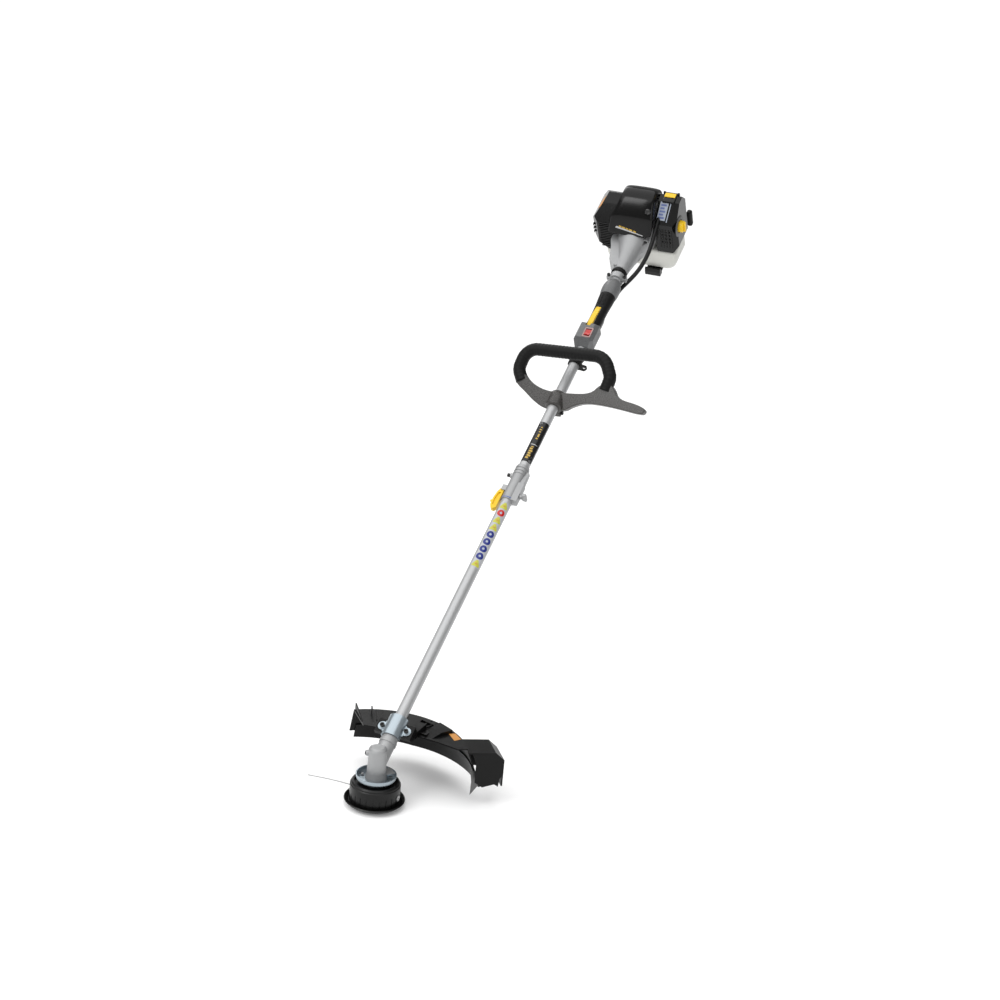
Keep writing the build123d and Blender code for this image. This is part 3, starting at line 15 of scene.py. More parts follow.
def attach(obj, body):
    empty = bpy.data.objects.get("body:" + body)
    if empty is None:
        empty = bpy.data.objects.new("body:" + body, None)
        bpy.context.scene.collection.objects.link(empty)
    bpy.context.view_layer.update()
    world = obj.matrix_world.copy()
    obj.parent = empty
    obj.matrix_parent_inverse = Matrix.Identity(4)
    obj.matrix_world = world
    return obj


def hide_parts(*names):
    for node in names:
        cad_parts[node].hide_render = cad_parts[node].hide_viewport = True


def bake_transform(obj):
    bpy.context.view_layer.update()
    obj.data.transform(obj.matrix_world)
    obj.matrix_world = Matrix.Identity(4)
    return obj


Point = Sequence[float]

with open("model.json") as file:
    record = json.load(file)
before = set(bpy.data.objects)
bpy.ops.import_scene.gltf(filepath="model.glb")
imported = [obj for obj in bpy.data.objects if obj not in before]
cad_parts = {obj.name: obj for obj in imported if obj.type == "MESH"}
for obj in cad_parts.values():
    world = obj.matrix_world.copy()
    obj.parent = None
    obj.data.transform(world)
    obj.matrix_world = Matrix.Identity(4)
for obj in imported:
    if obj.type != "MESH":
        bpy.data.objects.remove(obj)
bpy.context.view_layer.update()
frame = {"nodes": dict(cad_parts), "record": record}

log = logging.getLogger("trimmer")

MM = 0.001
SHAFT_ANGLE = 35.0
APEX_HEIGHT = 89.0
TUBE_R = 13.0
BUMP_DEPTH = 0.0004
COAT_ROUGHNESS = 0.12
DUST_COLOUR = (0.42, 0.41, 0.39, 1.0)


class Body(Enum):
    """The moving bodies that a dressed piece can ride on."""

    POWERHEAD = "powerhead"
    ATTACHMENT = "attachment"
    HEAD = "cutting_head"


class Surface(Enum):
    """What the surface pattern of a finish is."""

    MOULDED = "moulded"
    BRUSHED = "brushed"
    CAST = "cast"
    FLECKED = "flecked"
    GLOSSY = "glossy"


# ---------------------------------------------------------------- places
def shaft_matrix() -> Matrix:
    """Returns:
        The matrix from the shaft frame, in metres, to the row frame.
    """
    lift = Matrix.Translation((0, 0, APEX_HEIGHT * MM))
    return lift @ Matrix.Rotation(math.radians(-SHAFT_ANGLE), 4, "Y")


def loop_matrix(station: float, lean: float, roll: float) -> Matrix:
    """Finds the loop handle's own plane.

    Args:
        station: where the loop stands along the shaft, in millimetres.
        lean: how far it leans towards the operator, in degrees.
        roll: how far it is turned round the tube, in degrees.

    Returns:
        The matrix from the loop's frame, in metres, to the row frame.
    """
    turn = Matrix.Rotation(math.radians(-roll), 4, "X") @ Matrix.Rotation(math.radians(lean), 4, "Y")
    return shaft_matrix() @ Matrix.Translation((station * MM, 0, 0)) @ turn


SHAFT = shaft_matrix()


# ---------------------------------------------------------------- node and object helpers
def wire(tree: bpy.types.NodeTree, *joins: tuple[bpy.types.Node, object, bpy.types.Node, object]) -> None:
    """Links sockets in order.

    Args:
        tree: the node tree.
        joins: each a node, its output, the next node and its input.
    """
    for giver, output, taker, entry in joins:
        tree.links.new(giver.outputs[output], taker.inputs[entry])


def math_node(tree: bpy.types.NodeTree, operation: str, second: Optional[float] = None) -> bpy.types.Node:
    """Adds a Math node.

    Args:
        tree: the node tree.
        operation: what it works out.
        second: its second value, or None where a link gives it.

    Returns:
        The node.
    """
    node = tree.nodes.new("ShaderNodeMath")
    node.operation = operation
    if second is not None:
        node.inputs[1].default_value = second
    return node


def linked(name: str, data: Optional[bpy.types.ID]) -> bpy.types.Object:
    """Makes an object and links it to the scene.

    Args:
        name: the object's name.
        data: its mesh, curve, camera or light.

    Returns:
        The object.
    """
    made = bpy.data.objects.new(name, data)
    bpy.context.scene.collection.objects.link(made)
    return made


# ---------------------------------------------------------------- shader groups
class ShaderGroups:
    """The surface effects that the finishes share, each built once."""

    @classmethod
    def _new(cls, name: str, inputs: dict[str, float]) -> tuple[bpy.types.NodeTree, bpy.types.Node, bpy.types.Node]:
        """Starts a shader group.

        Args:
            name: the group's name.
            inputs: its float inputs, with their defaults.

        Returns:
            The tree, its input node and its output node.
        """
        tree = bpy.data.node_groups.new(name, "ShaderNodeTree")
        for label, value in inputs.items():
            socket = tree.interface.new_socket(label, in_out="INPUT", socket_type="NodeSocketFloat")
            socket.default_value = value
        for label in ("Mask", "Height"):
            tree.interface.new_socket(label, in_out="OUTPUT", socket_type="NodeSocketFloat")
        return tree, tree.nodes.new("NodeGroupInput"), tree.nodes.new("NodeGroupOutput")

    @classmethod
    @cache
    def grain(cls) -> bpy.types.NodeTree:
        """Returns:
            The group for moulded and cast grain: fine noise over broad mottling.
        """
        tree, source, result = cls._new("Grain", {"Scale": 900.0, "Mottle": 14.0, "Mix": 0.5})
        coords = tree.nodes.new("ShaderNodeTexCoord")
        fine = tree.nodes.new("ShaderNodeTexNoise")
        fine.inputs["Detail"].default_value = 3.0
        broad = tree.nodes.new("ShaderNodeTexNoise")
        broad.inputs["Detail"].default_value = 4.0
        mix = tree.nodes.new("ShaderNodeMix")
        wire(tree,
             (coords, "Object", fine, "Vector"), (coords, "Object", broad, "Vector"),
             (source, "Scale", fine, "Scale"), (source, "Mottle", broad, "Scale"),
             (source, "Mix", mix, "Factor"), (fine, "Fac", mix, "A"), (broad, "Fac", mix, "B"),
             (mix, "Result", result, "Mask"), (fine, "Fac", result, "Height"))
        return tree

    @classmethod
    @cache
    def brushed(cls) -> bpy.types.NodeTree:
        """Returns:
            The group for metal that is drawn or brushed along the shaft.
        """
        tree, source, result = cls._new("Brushed", {"Scale": 1500.0, "Stretch": 0.02, "Turn": math.radians(35)})
        coords = tree.nodes.new("ShaderNodeTexCoord")
        turn = tree.nodes.new("ShaderNodeVectorRotate")
        turn.rotation_type = "Y_AXIS"
        parts = tree.nodes.new("ShaderNodeSeparateXYZ")
        squeeze = math_node(tree, "MULTIPLY")
        joined = tree.nodes.new("ShaderNodeCombineXYZ")
        noise = tree.nodes.new("ShaderNodeTexNoise")
        noise.inputs["Detail"].default_value = 2.0
        wire(tree,
             (coords, "Object", turn, "Vector"), (source, "Turn", turn, "Angle"),
             (turn, "Vector", parts, "Vector"), (parts, "X", squeeze, 0), (source, "Stretch", squeeze, 1),
             (squeeze, "Value", joined, "X"), (parts, "Y", joined, "Y"), (parts, "Z", joined, "Z"),
             (joined, "Vector", noise, "Vector"), (source, "Scale", noise, "Scale"),
             (noise, "Fac", result, "Mask"), (noise, "Fac", result, "Height"))
        return tree

    @classmethod
    @cache
    def flecks(cls) -> bpy.types.NodeTree:
        """Returns:
            The group for mineral flecks in a plastic: small bright cells among dark ones.
        """
        tree, source, result = cls._new("Flecks", {"Scale": 420.0, "Amount": 0.35, "Softness": 0.2})
        coords = tree.nodes.new("ShaderNodeTexCoord")
        cells = tree.nodes.new("ShaderNodeTexVoronoi")
        parts = tree.nodes.new("ShaderNodeSeparateColor")
        edge = math_node(tree, "ADD")
        ramp = tree.nodes.new("ShaderNodeMapRange")
        ramp.inputs["To Min"].default_value = 1.0
        ramp.inputs["To Max"].default_value = 0.0
        wire(tree,
             (coords, "Object", cells, "Vector"), (source, "Scale", cells, "Scale"),
             (cells, "Color", parts, "Color"), (source, "Amount", edge, 0), (source, "Softness", edge, 1),
             (parts, "Red", ramp, "Value"), (source, "Amount", ramp, "From Min"),
             (edge, "Value", ramp, "From Max"), (ramp, "Result", result, "Mask"),
             (cells, "Distance", result, "Height"))
        return tree

    @classmethod
    @cache
    def dust(cls) -> bpy.types.NodeTree:
        """Returns:
            The group for a thin film of dust on what faces upwards.
        """
        tree, source, result = cls._new("Dust", {"Scale": 60.0, "Amount": 0.15, "Facing": 0.5})
        coords = tree.nodes.new("ShaderNodeTexCoord")
        geometry = tree.nodes.new("ShaderNodeNewGeometry")
        parts = tree.nodes.new("ShaderNodeSeparateXYZ")
        up = tree.nodes.new("ShaderNodeMapRange")
        noise = tree.nodes.new("ShaderNodeTexNoise")
        noise.inputs["Detail"].default_value = 6.0
        both = math_node(tree, "MULTIPLY")
        scaled = math_node(tree, "MULTIPLY")
        wire(tree,
             (geometry, "Normal", parts, "Vector"), (parts, "Z", up, "Value"),
             (source, "Facing", up, "From Min"), (coords, "Object", noise, "Vector"),
             (source, "Scale", noise, "Scale"), (up, "Result", both, 0), (noise, "Fac", both, 1),
             (both, "Value", scaled, 0), (source, "Amount", scaled, 1), (scaled, "Value", result, "Mask"),
             (noise, "Fac", result, "Height"))
        return tree


# ---------------------------------------------------------------- finishes
@dataclass(frozen=True)
class Finish:
    """One surface finish, with its own shader.

    Args:
        name: the record's material slot, or the finish's own name.
        base: the main linear colour.
        tint: the colour that the pattern mixes in.
        roughness: the mean roughness.
        metallic: 1 for bare metal.
        surface: which pattern it has.
        scale: the pattern's scale, in cycles per metre.
        relief: how strong the bump is.
        mixing: how much of the tint shows.
        coat: the weight of a clear coat.
        dust: how much dust lies on upper faces.
        specular: the strength of its plain reflection.
    """

    name: str
    base: tuple[float, float, float]
    tint: tuple[float, float, float]
    roughness: float = 0.5
    metallic: float = 0.0
    surface: Surface = Surface.MOULDED
    scale: float = 900.0
    relief: float = 0.1
    mixing: float = 0.5
    coat: float = 0.0
    dust: float = 0.1
    specular: float = 0.4

    def _pattern(self, tree: bpy.types.NodeTree) -> bpy.types.Node:
        """Places the finish's pattern group.

        Args:
            tree: the material's node tree.

        Returns:
            The group node, whose outputs are Mask and Height.
        """
        node = tree.nodes.new("ShaderNodeGroup")
        if self.surface is Surface.BRUSHED:
            node.node_tree = ShaderGroups.brushed()
        elif self.surface is Surface.FLECKED:
            node.node_tree = ShaderGroups.flecks()
        else:
            node.node_tree = ShaderGroups.grain()
            node.inputs["Mix"].default_value = 0.7 if self.surface is Surface.CAST else 0.45
        node.inputs["Scale"].default_value = self.scale
        return node

    def material(self) -> bpy.types.Material:
        """Returns:
            The finish's material, made on its first use.
        """
        known = bpy.data.materials.get("finish_" + self.name)
        if known:
            return known
        made = bpy.data.materials.new("finish_" + self.name)
        made.use_nodes = True
        tree = made.node_tree
        shader = tree.nodes["Principled BSDF"]
        pattern = self._pattern(tree)
        colour = tree.nodes.new("ShaderNodeMix")
        colour.data_type = "RGBA"
        colour.inputs["A"].default_value = (*self.base, 1.0)
        colour.inputs["B"].default_value = (*self.tint, 1.0)
        amount = math_node(tree, "MULTIPLY", self.mixing)
        wire(tree,
             (pattern, "Mask", amount, 0), (amount, "Value", colour, "Factor"))
        dusty = tree.nodes.new("ShaderNodeGroup")
        dusty.node_tree = ShaderGroups.dust()
        dusty.inputs["Amount"].default_value = self.dust
        film = tree.nodes.new("ShaderNodeMix")
        film.data_type = "RGBA"
        film.inputs["B"].default_value = DUST_COLOUR
        wire(tree,
             (dusty, "Mask", film, "Factor"), (colour, "Result", film, "A"),
             (film, "Result", shader, "Base Color"))
        rough = tree.nodes.new("ShaderNodeMapRange")
        rough.inputs["To Min"].default_value = max(0.04, self.roughness - 0.08)
        rough.inputs["To Max"].default_value = min(1.0, self.roughness + 0.1)
        wire(tree,
             (pattern, "Mask", rough, "Value"), (rough, "Result", shader, "Roughness"))
        bump = tree.nodes.new("ShaderNodeBump")
        bump.inputs["Strength"].default_value = self.relief
        bump.inputs["Distance"].default_value = BUMP_DEPTH
        wire(tree,
             (pattern, "Height", bump, "Height"), (bump, "Normal", shader, "Normal"))
        shader.inputs["Metallic"].default_value = self.metallic
        shader.inputs["Specular IOR Level"].default_value = self.specular
        shader.inputs["Coat Weight"].default_value = self.coat
        shader.inputs["Coat Roughness"].default_value = COAT_ROUGHNESS
        return made


def grey(value: float, warm: float = 0.0) -> tuple[float, float, float]:
    """Makes a grey.

    Args:
        value: its linear brightness.
        warm: positive for warmer, negative for bluer.

    Returns:
        A linear colour.
    """
    return (value * (1 + warm), value, value * (1 - warm))


FINISHES: dict[str, Finish] = {
    f.name: f
    for f in (
        Finish("black_nylon", grey(0.003), grey(0.008), 0.32, scale=1300, relief=0.1, dust=0.01, specular=0.26),
        Finish("black_guard", grey(0.002), grey(0.006), 0.36, scale=1100, relief=0.14, dust=0.01, specular=0.18),
        Finish("black_gloss", grey(0.003), grey(0.006), 0.16, surface=Surface.GLOSSY, relief=0.02, coat=0.1,
               dust=0.0, specular=0.2),
        Finish("grey_mica", grey(0.036, 0.05), grey(0.075, 0.07), 0.3, surface=Surface.FLECKED, scale=900,
               relief=0.03, mixing=0.35, dust=0.04),
        Finish("switch_grey", grey(0.11, -0.02), grey(0.17, -0.02), 0.42, surface=Surface.FLECKED, scale=700,
               relief=0.03, mixing=0.4, dust=0.05),
        Finish("dome_grey", grey(0.1, 0.02), grey(0.3), 0.4, surface=Surface.FLECKED, scale=240,
               relief=0.05, mixing=0.5, dust=0.05),
        Finish("soft_black", grey(0.003), grey(0.008), 0.5, scale=2200, relief=0.25, dust=0.01, specular=0.18),
        Finish("red_plastic", (0.5, 0.01, 0.008), (0.38, 0.005, 0.004), 0.3, relief=0.03, coat=0.2, dust=0.02),
        Finish("yellow_plastic", (0.8, 0.52, 0.008), (0.7, 0.42, 0.005), 0.34, relief=0.05, dust=0.02),
        Finish("line_grey", grey(0.34), grey(0.45), 0.35, relief=0.03, dust=0.0),
        Finish("tank_white", (0.6, 0.6, 0.56), (0.46, 0.46, 0.43), 0.36, scale=600, relief=0.04, dust=0.06),
        Finish("primer_clear", grey(0.02), grey(0.04), 0.2, relief=0.02, coat=0.3, dust=0.02),
        Finish("tube_satin", grey(0.46, -0.01), grey(0.36, -0.015), 0.45, 0.6, Surface.BRUSHED, 1700, 0.05, 0.5,
               dust=0.03),
        Finish("cast_silver", grey(0.38, -0.01), grey(0.24, -0.015), 0.46, 0.5, Surface.CAST, 1500, 0.2, 0.6,
               dust=0.04),
        Finish("zinc", (0.3, 0.36, 0.4), (0.46, 0.5, 0.53), 0.28, 0.85, Surface.CAST, 500, 0.04, 0.6, dust=0.02),
        Finish("steel", grey(0.36), grey(0.48), 0.3, 0.95, Surface.BRUSHED, 1400, 0.05, 0.5, dust=0.02),
        Finish("blade_steel", grey(0.1), grey(0.2), 0.36, 0.85, Surface.BRUSHED, 1200, 0.08, 0.6, dust=0.03),
        Finish("dark_screw", grey(0.015), grey(0.04), 0.32, 0.7, Surface.CAST, 1500, 0.08, 0.5, dust=0.03),
        Finish("muffler_metal", grey(0.03), grey(0.07), 0.6, 0.5, Surface.CAST, 1200, 0.2, 0.6, dust=0.05),
        Finish("label_black", grey(0.004), grey(0.008), 0.25, relief=0.02, coat=0.2, dust=0.01, specular=0.3),
        Finish("label_clear", (0.44, 0.45, 0.47), (0.38, 0.39, 0.42), 0.22, relief=0.02, coat=0.4, dust=0.02),
        Finish("label_pale", (0.36, 0.4, 0.47), (0.3, 0.34, 0.42), 0.3, relief=0.02, coat=0.3, dust=0.02),
        Finish("gold_print", (0.5, 0.33, 0.06), (0.36, 0.22, 0.03), 0.32, 0.3, relief=0.03, dust=0.02),
        Finish("orange_print", (0.6, 0.27, 0.06), (0.45, 0.18, 0.03), 0.38, relief=0.03, dust=0.03),
        Finish("silver_print", grey(0.4), grey(0.5), 0.3, 0.5, relief=0.03, dust=0.02),
        Finish("blue_print", (0.018, 0.03, 0.2), (0.012, 0.02, 0.15), 0.3, relief=0.02, dust=0.02),
        Finish("pale_blue", (0.1, 0.13, 0.3), (0.14, 0.18, 0.36), 0.3, relief=0.02, dust=0.02),
        Finish("lime_print", (0.5, 0.5, 0.06), (0.4, 0.4, 0.04), 0.3, relief=0.02, dust=0.02),
        Finish("bezel_pale", (0.34, 0.2, 0.19), (0.4, 0.26, 0.24), 0.42, relief=0.05, dust=0.04),
        Finish("rim_grey", grey(0.06, -0.03), grey(0.1), 0.42, relief=0.06, dust=0.05),
    )
}


# ---------------------------------------------------------------- mesh helpers
def piece(name: str, points: Iterable[Point], faces: Iterable[Sequence[int]], finish: str,
          place: Matrix = SHAFT) -> bpy.types.Object:
    """Makes a mesh object from millimetre points.

    Args:
        name: the piece's name.
        points: its corners, in millimetres, in the frame that place maps from.
        faces: its faces, as indices.
        finish: the finish's name.
        place: the matrix that puts it in the row frame.

    Returns:
        The new object, at the origin, with its place in its mesh.
    """
    mesh = bpy.data.meshes.new(name)
    mesh.from_pydata([place @ (Vector(p) * MM) for p in points], [], [tuple(f) for f in faces])
    mesh.materials.append(FINISHES[finish].material())
    mesh.validate()
    made = linked(name, mesh)
    outward(made)
    return made


def outward(obj: bpy.types.Object) -> None:
    """Merges doubles and turns every face outwards.

    Args:
        obj: a mesh object.
    """
    import bmesh

    work = bmesh.new()
    work.from_mesh(obj.data)
    bmesh.ops.remove_doubles(work, verts=work.verts, dist=1e-6)
    bmesh.ops.recalc_face_normals(work, faces=work.faces)
    work.to_mesh(obj.data)
    work.free()


def smooth(obj: bpy.types.Object, angle: float = 35.0) -> bpy.types.Object:
    """Shades a piece smooth, but keeps its sharp edges.

    Args:
        obj: a mesh object.
        angle: the angle above which an edge stays sharp, in degrees.

    Returns:
        The same object.
    """
    obj.data.shade_smooth()
    obj.data.set_sharp_from_angle(angle=math.radians(angle))
    return obj


def bevelled(obj: bpy.types.Object, width: float, segments: int = 2) -> bpy.types.Object:
    """Rounds a piece's edges.

    Args:
        obj: a mesh object.
        width: the bevel's width, in millimetres.
        segments: how many faces the bevel has.

    Returns:
        The same object.
    """
    modifier = obj.modifiers.new("edges", "BEVEL")
    modifier.width = width * MM
    modifier.segments = segments
    modifier.limit_method = "ANGLE"
    return obj


def prism(name: str, outline: Sequence[Point], lift: Callable[[float, float], Point],
          normal: Point, thick: float, finish: str, place: Matrix = SHAFT) -> bpy.types.Object:
    """A flat plate of any outline on any plane.

    Args:
        name: the piece's name.
        outline: its corners, as (u, v).
        lift: puts (u, v) in the frame that place maps from.
        normal: the plate's outward normal there.
        thick: its thickness, in millimetres.
        finish: the finish's name.
        place: the matrix that puts it in the row frame.

    Returns:
        The plate.
    """
    low = [Vector(lift(u, v)) for u, v in outline]
    high = [p + Vector(normal) * thick for p in low]
    count = len(outline)
    sides = [(i, (i + 1) % count, count + (i + 1) % count, count + i) for i in range(count)]
    faces = [tuple(reversed(range(count))), tuple(range(count, 2 * count)), *sides]
    return piece(name, low + high, faces, finish, place)


def tube_decal(name: str, outline: Sequence[Point], station: float, turn: float, radius: float,
               finish: str, thick: float = 0.12) -> bpy.types.Object:
    """A thin decal that follows the tube.

    Args:
        name: the piece's name.
        outline: a convex outline, as (along the shaft, round the tube), in millimetres.
        station: its centre along the shaft.
        turn: its centre round the tube, in degrees from the upper side towards +Y.
        radius: the radius it lies on.
        finish: the finish's name.
        thick: its thickness.

    Returns:
        The decal.
    """
    rings = 6
    count = len(outline)
    points: list[Point] = []
    for layer in (0.0, thick):
        for ring in range(rings + 1):
            for u, v in outline:
                share = ring / rings
                angle = math.radians(turn) + v * share / radius
                points.append((station + u * share, (radius + layer) * math.sin(angle),
                               (radius + layer) * math.cos(angle)))
    faces = []
    step = count * (rings + 1)
    for layer in (0, step):
        for ring in range(rings):
            for i in range(count):
                a, b = layer + ring * count + i, layer + ring * count + (i + 1) % count
                faces.append((a, b, b + count, a + count))
    last = rings * count
    for i in range(count):
        a, b = last + i, last + (i + 1) % count
        faces.append((a, b, b + step, a + step))
    return smooth(piece(name, points, faces, finish))


def disc(radius: float, count: int = 28) -> list[Point]:
    """Returns:
        A circle's outline.
    """
    return [(radius * math.cos(2 * math.pi * i / count), radius * math.sin(2 * math.pi * i / count))
            for i in range(count)]


def rounded(half_u: float, half_v: float, corner: float, count: int = 5) -> list[Point]:
    """A rounded rectangle's outline.

    Args:
        half_u: half its length.
        half_v: half its width.
        corner: its corner radius.
        count: how many points each corner has.

    Returns:
        Its points.
    """
    points = []
    for sign_u, sign_v, start in ((1, 1, 0), (-1, 1, 90), (-1, -1, 180), (1, -1, 270)):
        for i in range(count):
            angle = math.radians(start + 90 * i / (count - 1))
            points.append((sign_u * (half_u - corner) + corner * math.cos(angle),
                           sign_v * (half_v - corner) + corner * math.sin(angle)))
    return points


def dense(outline: Sequence[Point], step: float) -> list[Point]:
    """Splits an outline's long edges, so that it can bend.

    Args:
        outline: its corners.
        step: the longest edge that is kept.

    Returns:
        The finer outline.
    """
    points: list[Point] = []
    for here, there in zip(outline, list(outline[1:]) + [outline[0]]):
        parts = max(1, math.ceil(math.dist(here, there) / step))
        points += [(here[0] + (there[0] - here[0]) * i / parts, here[1] + (there[1] - here[1]) * i / parts)
                   for i in range(parts)]
    return points


def turned(name: str, profile: Sequence[Point], finish: str, place: Matrix = SHAFT, count: int = 64,
           along: str = "x") -> bpy.types.Object:
    """A ring turned about an axis.

    Args:
        name: the piece's name.
        profile: a closed outline of (along, radius) points.
        finish: the finish's name.
        place: the matrix that puts it in the row frame.
        count: how many steps it has round the axis.
        along: the axis, x, y or z.

    Returns:
        The ring.
    """
    points: list[Point] = []
    for i in range(count):
        a = 2 * math.pi * i / count
        for x, r in profile:
            u, v = r * math.cos(a), r * math.sin(a)
            points.append({"x": (x, u, v), "y": (v, x, u), "z": (u, v, x)}[along])
    size = len(profile)
    faces = [(i * size + j, i * size + (j + 1) % size, (i + 1) % count * size + (j + 1) % size,
              (i + 1) % count * size + j) for i in range(count) for j in range(size)]
    return smooth(piece(name, points, faces, finish, place))


# ---------------------------------------------------------------- geometry nodes
class GeometryTrees:
    """The Geometry Nodes trees, and the one way that they are run."""

    @staticmethod
    def _start(name: str, inputs: Sequence[tuple[str, str]]
               ) -> tuple[bpy.types.NodeTree, bpy.types.Node, bpy.types.Node]:
        """Starts a tree.

        Args:
            name: the tree's name.
            inputs: pairs of an input's name and its socket type.

        Returns:
            The tree, its input node and its output node.
        """
        tree = bpy.data.node_groups.new(name, "GeometryNodeTree")
        tree.interface.new_socket("Geometry", in_out="INPUT", socket_type="NodeSocketGeometry")
        for label, kind in inputs:
            tree.interface.new_socket(label, in_out="INPUT", socket_type=kind)
        tree.interface.new_socket("Geometry", in_out="OUTPUT", socket_type="NodeSocketGeometry")
        return tree, tree.nodes.new("NodeGroupInput"), tree.nodes.new("NodeGroupOutput")

    @staticmethod
    def _end(tree: bpy.types.NodeTree, source: bpy.types.Node, result: bpy.types.Node,
             shape: bpy.types.NodeSocket) -> bpy.types.NodeTree:
        """Ends a tree: its shape is made real, then given the material.

        Args:
            tree: the tree.
            source: its input node.
            result: its output node.
            shape: the socket that gives the shape.

        Returns:
            The same tree.
        """
        real = tree.nodes.new("GeometryNodeRealizeInstances")
        paint = tree.nodes.new("GeometryNodeSetMaterial")
        tree.links.new(shape, real.inputs["Geometry"])
        wire(tree,
             (real, "Geometry", paint, "Geometry"), (source, "Material", paint, "Material"),
             (paint, "Geometry", result, "Geometry"))
        return tree

    @classmethod
    @cache
    def rows(cls) -> bpy.types.NodeTree:
        """Returns:
            The tree that repeats a bar in rows and columns.
        """
        tree, source, result = cls._start("BarRows", [
            ("Rows", "NodeSocketInt"), ("Columns", "NodeSocketInt"), ("Start", "NodeSocketVector"),
            ("Row Step", "NodeSocketVector"), ("Column Step", "NodeSocketVector"), ("Size", "NodeSocketVector"),
            ("Material", "NodeSocketMaterial")])
        bar = tree.nodes.new("GeometryNodeMeshCube")
        row = tree.nodes.new("GeometryNodeMeshLine")
        column = tree.nodes.new("GeometryNodeMeshLine")
        first = tree.nodes.new("GeometryNodeInstanceOnPoints")
        second = tree.nodes.new("GeometryNodeInstanceOnPoints")
        wire(tree,
             (source, "Size", bar, "Size"), (source, "Rows", row, "Count"),
             (source, "Start", row, "Start Location"), (source, "Row Step", row, "Offset"),
             (source, "Columns", column, "Count"), (source, "Column Step", column, "Offset"),
             (column, "Mesh", first, "Points"), (bar, "Mesh", first, "Instance"),
             (row, "Mesh", second, "Points"), (first, "Instances", second, "Instance"))
        return cls._end(tree, source, result, second.outputs["Instances"])

    @classmethod
    @cache
    def ring_of_screws(cls) -> bpy.types.NodeTree:
        """Returns:
            The tree that stands a hexagon head with a washer on each point of a mesh.
        """
        tree, source, result = cls._start("ScrewHeads", [
            ("Radius", "NodeSocketFloat"), ("Height", "NodeSocketFloat"), ("Material", "NodeSocketMaterial")])
        head = tree.nodes.new("GeometryNodeMeshCylinder")
        head.inputs["Vertices"].default_value = 6
        washer = tree.nodes.new("GeometryNodeMeshCylinder")
        washer.inputs["Vertices"].default_value = 28
        wide = math_node(tree, "MULTIPLY", 1.35)
        thin = math_node(tree, "MULTIPLY", 0.3)
        both = tree.nodes.new("GeometryNodeJoinGeometry")
        stand = tree.nodes.new("GeometryNodeInstanceOnPoints")
        normal = tree.nodes.new("GeometryNodeInputNormal")
        align = tree.nodes.new("FunctionNodeAlignRotationToVector")
        wire(tree,
             (source, "Radius", head, "Radius"), (source, "Height", head, "Depth"),
             (source, "Radius", wide, 0), (source, "Height", thin, 0), (wide, "Value", washer, "Radius"),
             (thin, "Value", washer, "Depth"), (head, "Mesh", both, "Geometry"),
             (washer, "Mesh", both, "Geometry"), (source, "Geometry", stand, "Points"),
             (both, "Geometry", stand, "Instance"), (normal, "Normal", align, "Vector"),
             (align, "Rotation", stand, "Rotation"))
        return cls._end(tree, source, result, stand.outputs["Instances"])

    @classmethod
    @cache
    def ribbed_sleeve(cls) -> bpy.types.NodeTree:
        """Returns:
            The tree that sweeps a ribbed sleeve along a curve.
        """
        tree, source, result = cls._start("RibbedSleeve", [
            ("Radius", "NodeSocketFloat"), ("Pitch", "NodeSocketFloat"), ("Depth", "NodeSocketFloat"),
            ("Step", "NodeSocketFloat"), ("Material", "NodeSocketMaterial")])
        even = tree.nodes.new("GeometryNodeResampleCurve")
        even.mode = "LENGTH"
        along = tree.nodes.new("GeometryNodeSplineParameter")
        turns = math_node(tree, "DIVIDE")
        circle = math_node(tree, "MULTIPLY", 2 * math.pi)
        wave = math_node(tree, "SINE")
        clip = math_node(tree, "MAXIMUM", -0.2)
        deep = math_node(tree, "MULTIPLY_ADD")
        deep.inputs[2].default_value = 1.0
        radius = tree.nodes.new("GeometryNodeSetCurveRadius")
        ring = tree.nodes.new("GeometryNodeCurvePrimitiveCircle")
        ring.inputs["Resolution"].default_value = 40
        sweep = tree.nodes.new("GeometryNodeCurveToMesh")
        sweep.inputs["Fill Caps"].default_value = True
        wire(tree,
             (source, "Geometry", even, "Curve"), (source, "Step", even, "Length"),
             (along, "Length", turns, 0), (source, "Pitch", turns, 1), (turns, "Value", circle, 0),
             (circle, "Value", wave, 0), (wave, "Value", clip, 0), (clip, "Value", deep, 0),
             (source, "Depth", deep, 1), (even, "Curve", radius, "Curve"), (deep, "Value", radius, "Radius"),
             (source, "Radius", ring, "Radius"), (radius, "Curve", sweep, "Curve"),
             (ring, "Curve", sweep, "Profile Curve"), (deep, "Value", sweep, "Scale"))
        return cls._end(tree, source, result, sweep.outputs["Mesh"])

    @staticmethod
    def run(carrier: bpy.types.Object, tree: bpy.types.NodeTree, values: dict[str, object], finish: str,
            place: Optional[Matrix] = None) -> bpy.types.Object:
        """Runs a tree on an object and keeps the result as a plain mesh.

        Args:
            carrier: the mesh or curve object that the tree starts from; it is removed.
            tree: the Geometry Nodes tree.
            values: its inputs by name.
            finish: the finish's name.
            place: a matrix for the result, or None.

        Returns:
            The new mesh object.
        """
        modifier = carrier.modifiers.new("nodes", "NODES")
        modifier.node_group = tree
        known = {item.name: item.identifier for item in tree.interface.items_tree if item.in_out == "INPUT"}
        for label, value in values.items():
            modifier[known[label]] = value
        modifier[known["Material"]] = FINISHES[finish].material()
        bpy.context.view_layer.update()
        graph = bpy.context.evaluated_depsgraph_get()
        mesh = bpy.data.meshes.new_from_object(carrier.evaluated_get(graph))
        name = carrier.name
        carrier.modifiers.remove(modifier)
        bpy.data.objects.remove(carrier)
        if place is not None:
            mesh.transform(place)
        made = linked(name, mesh)
        return made


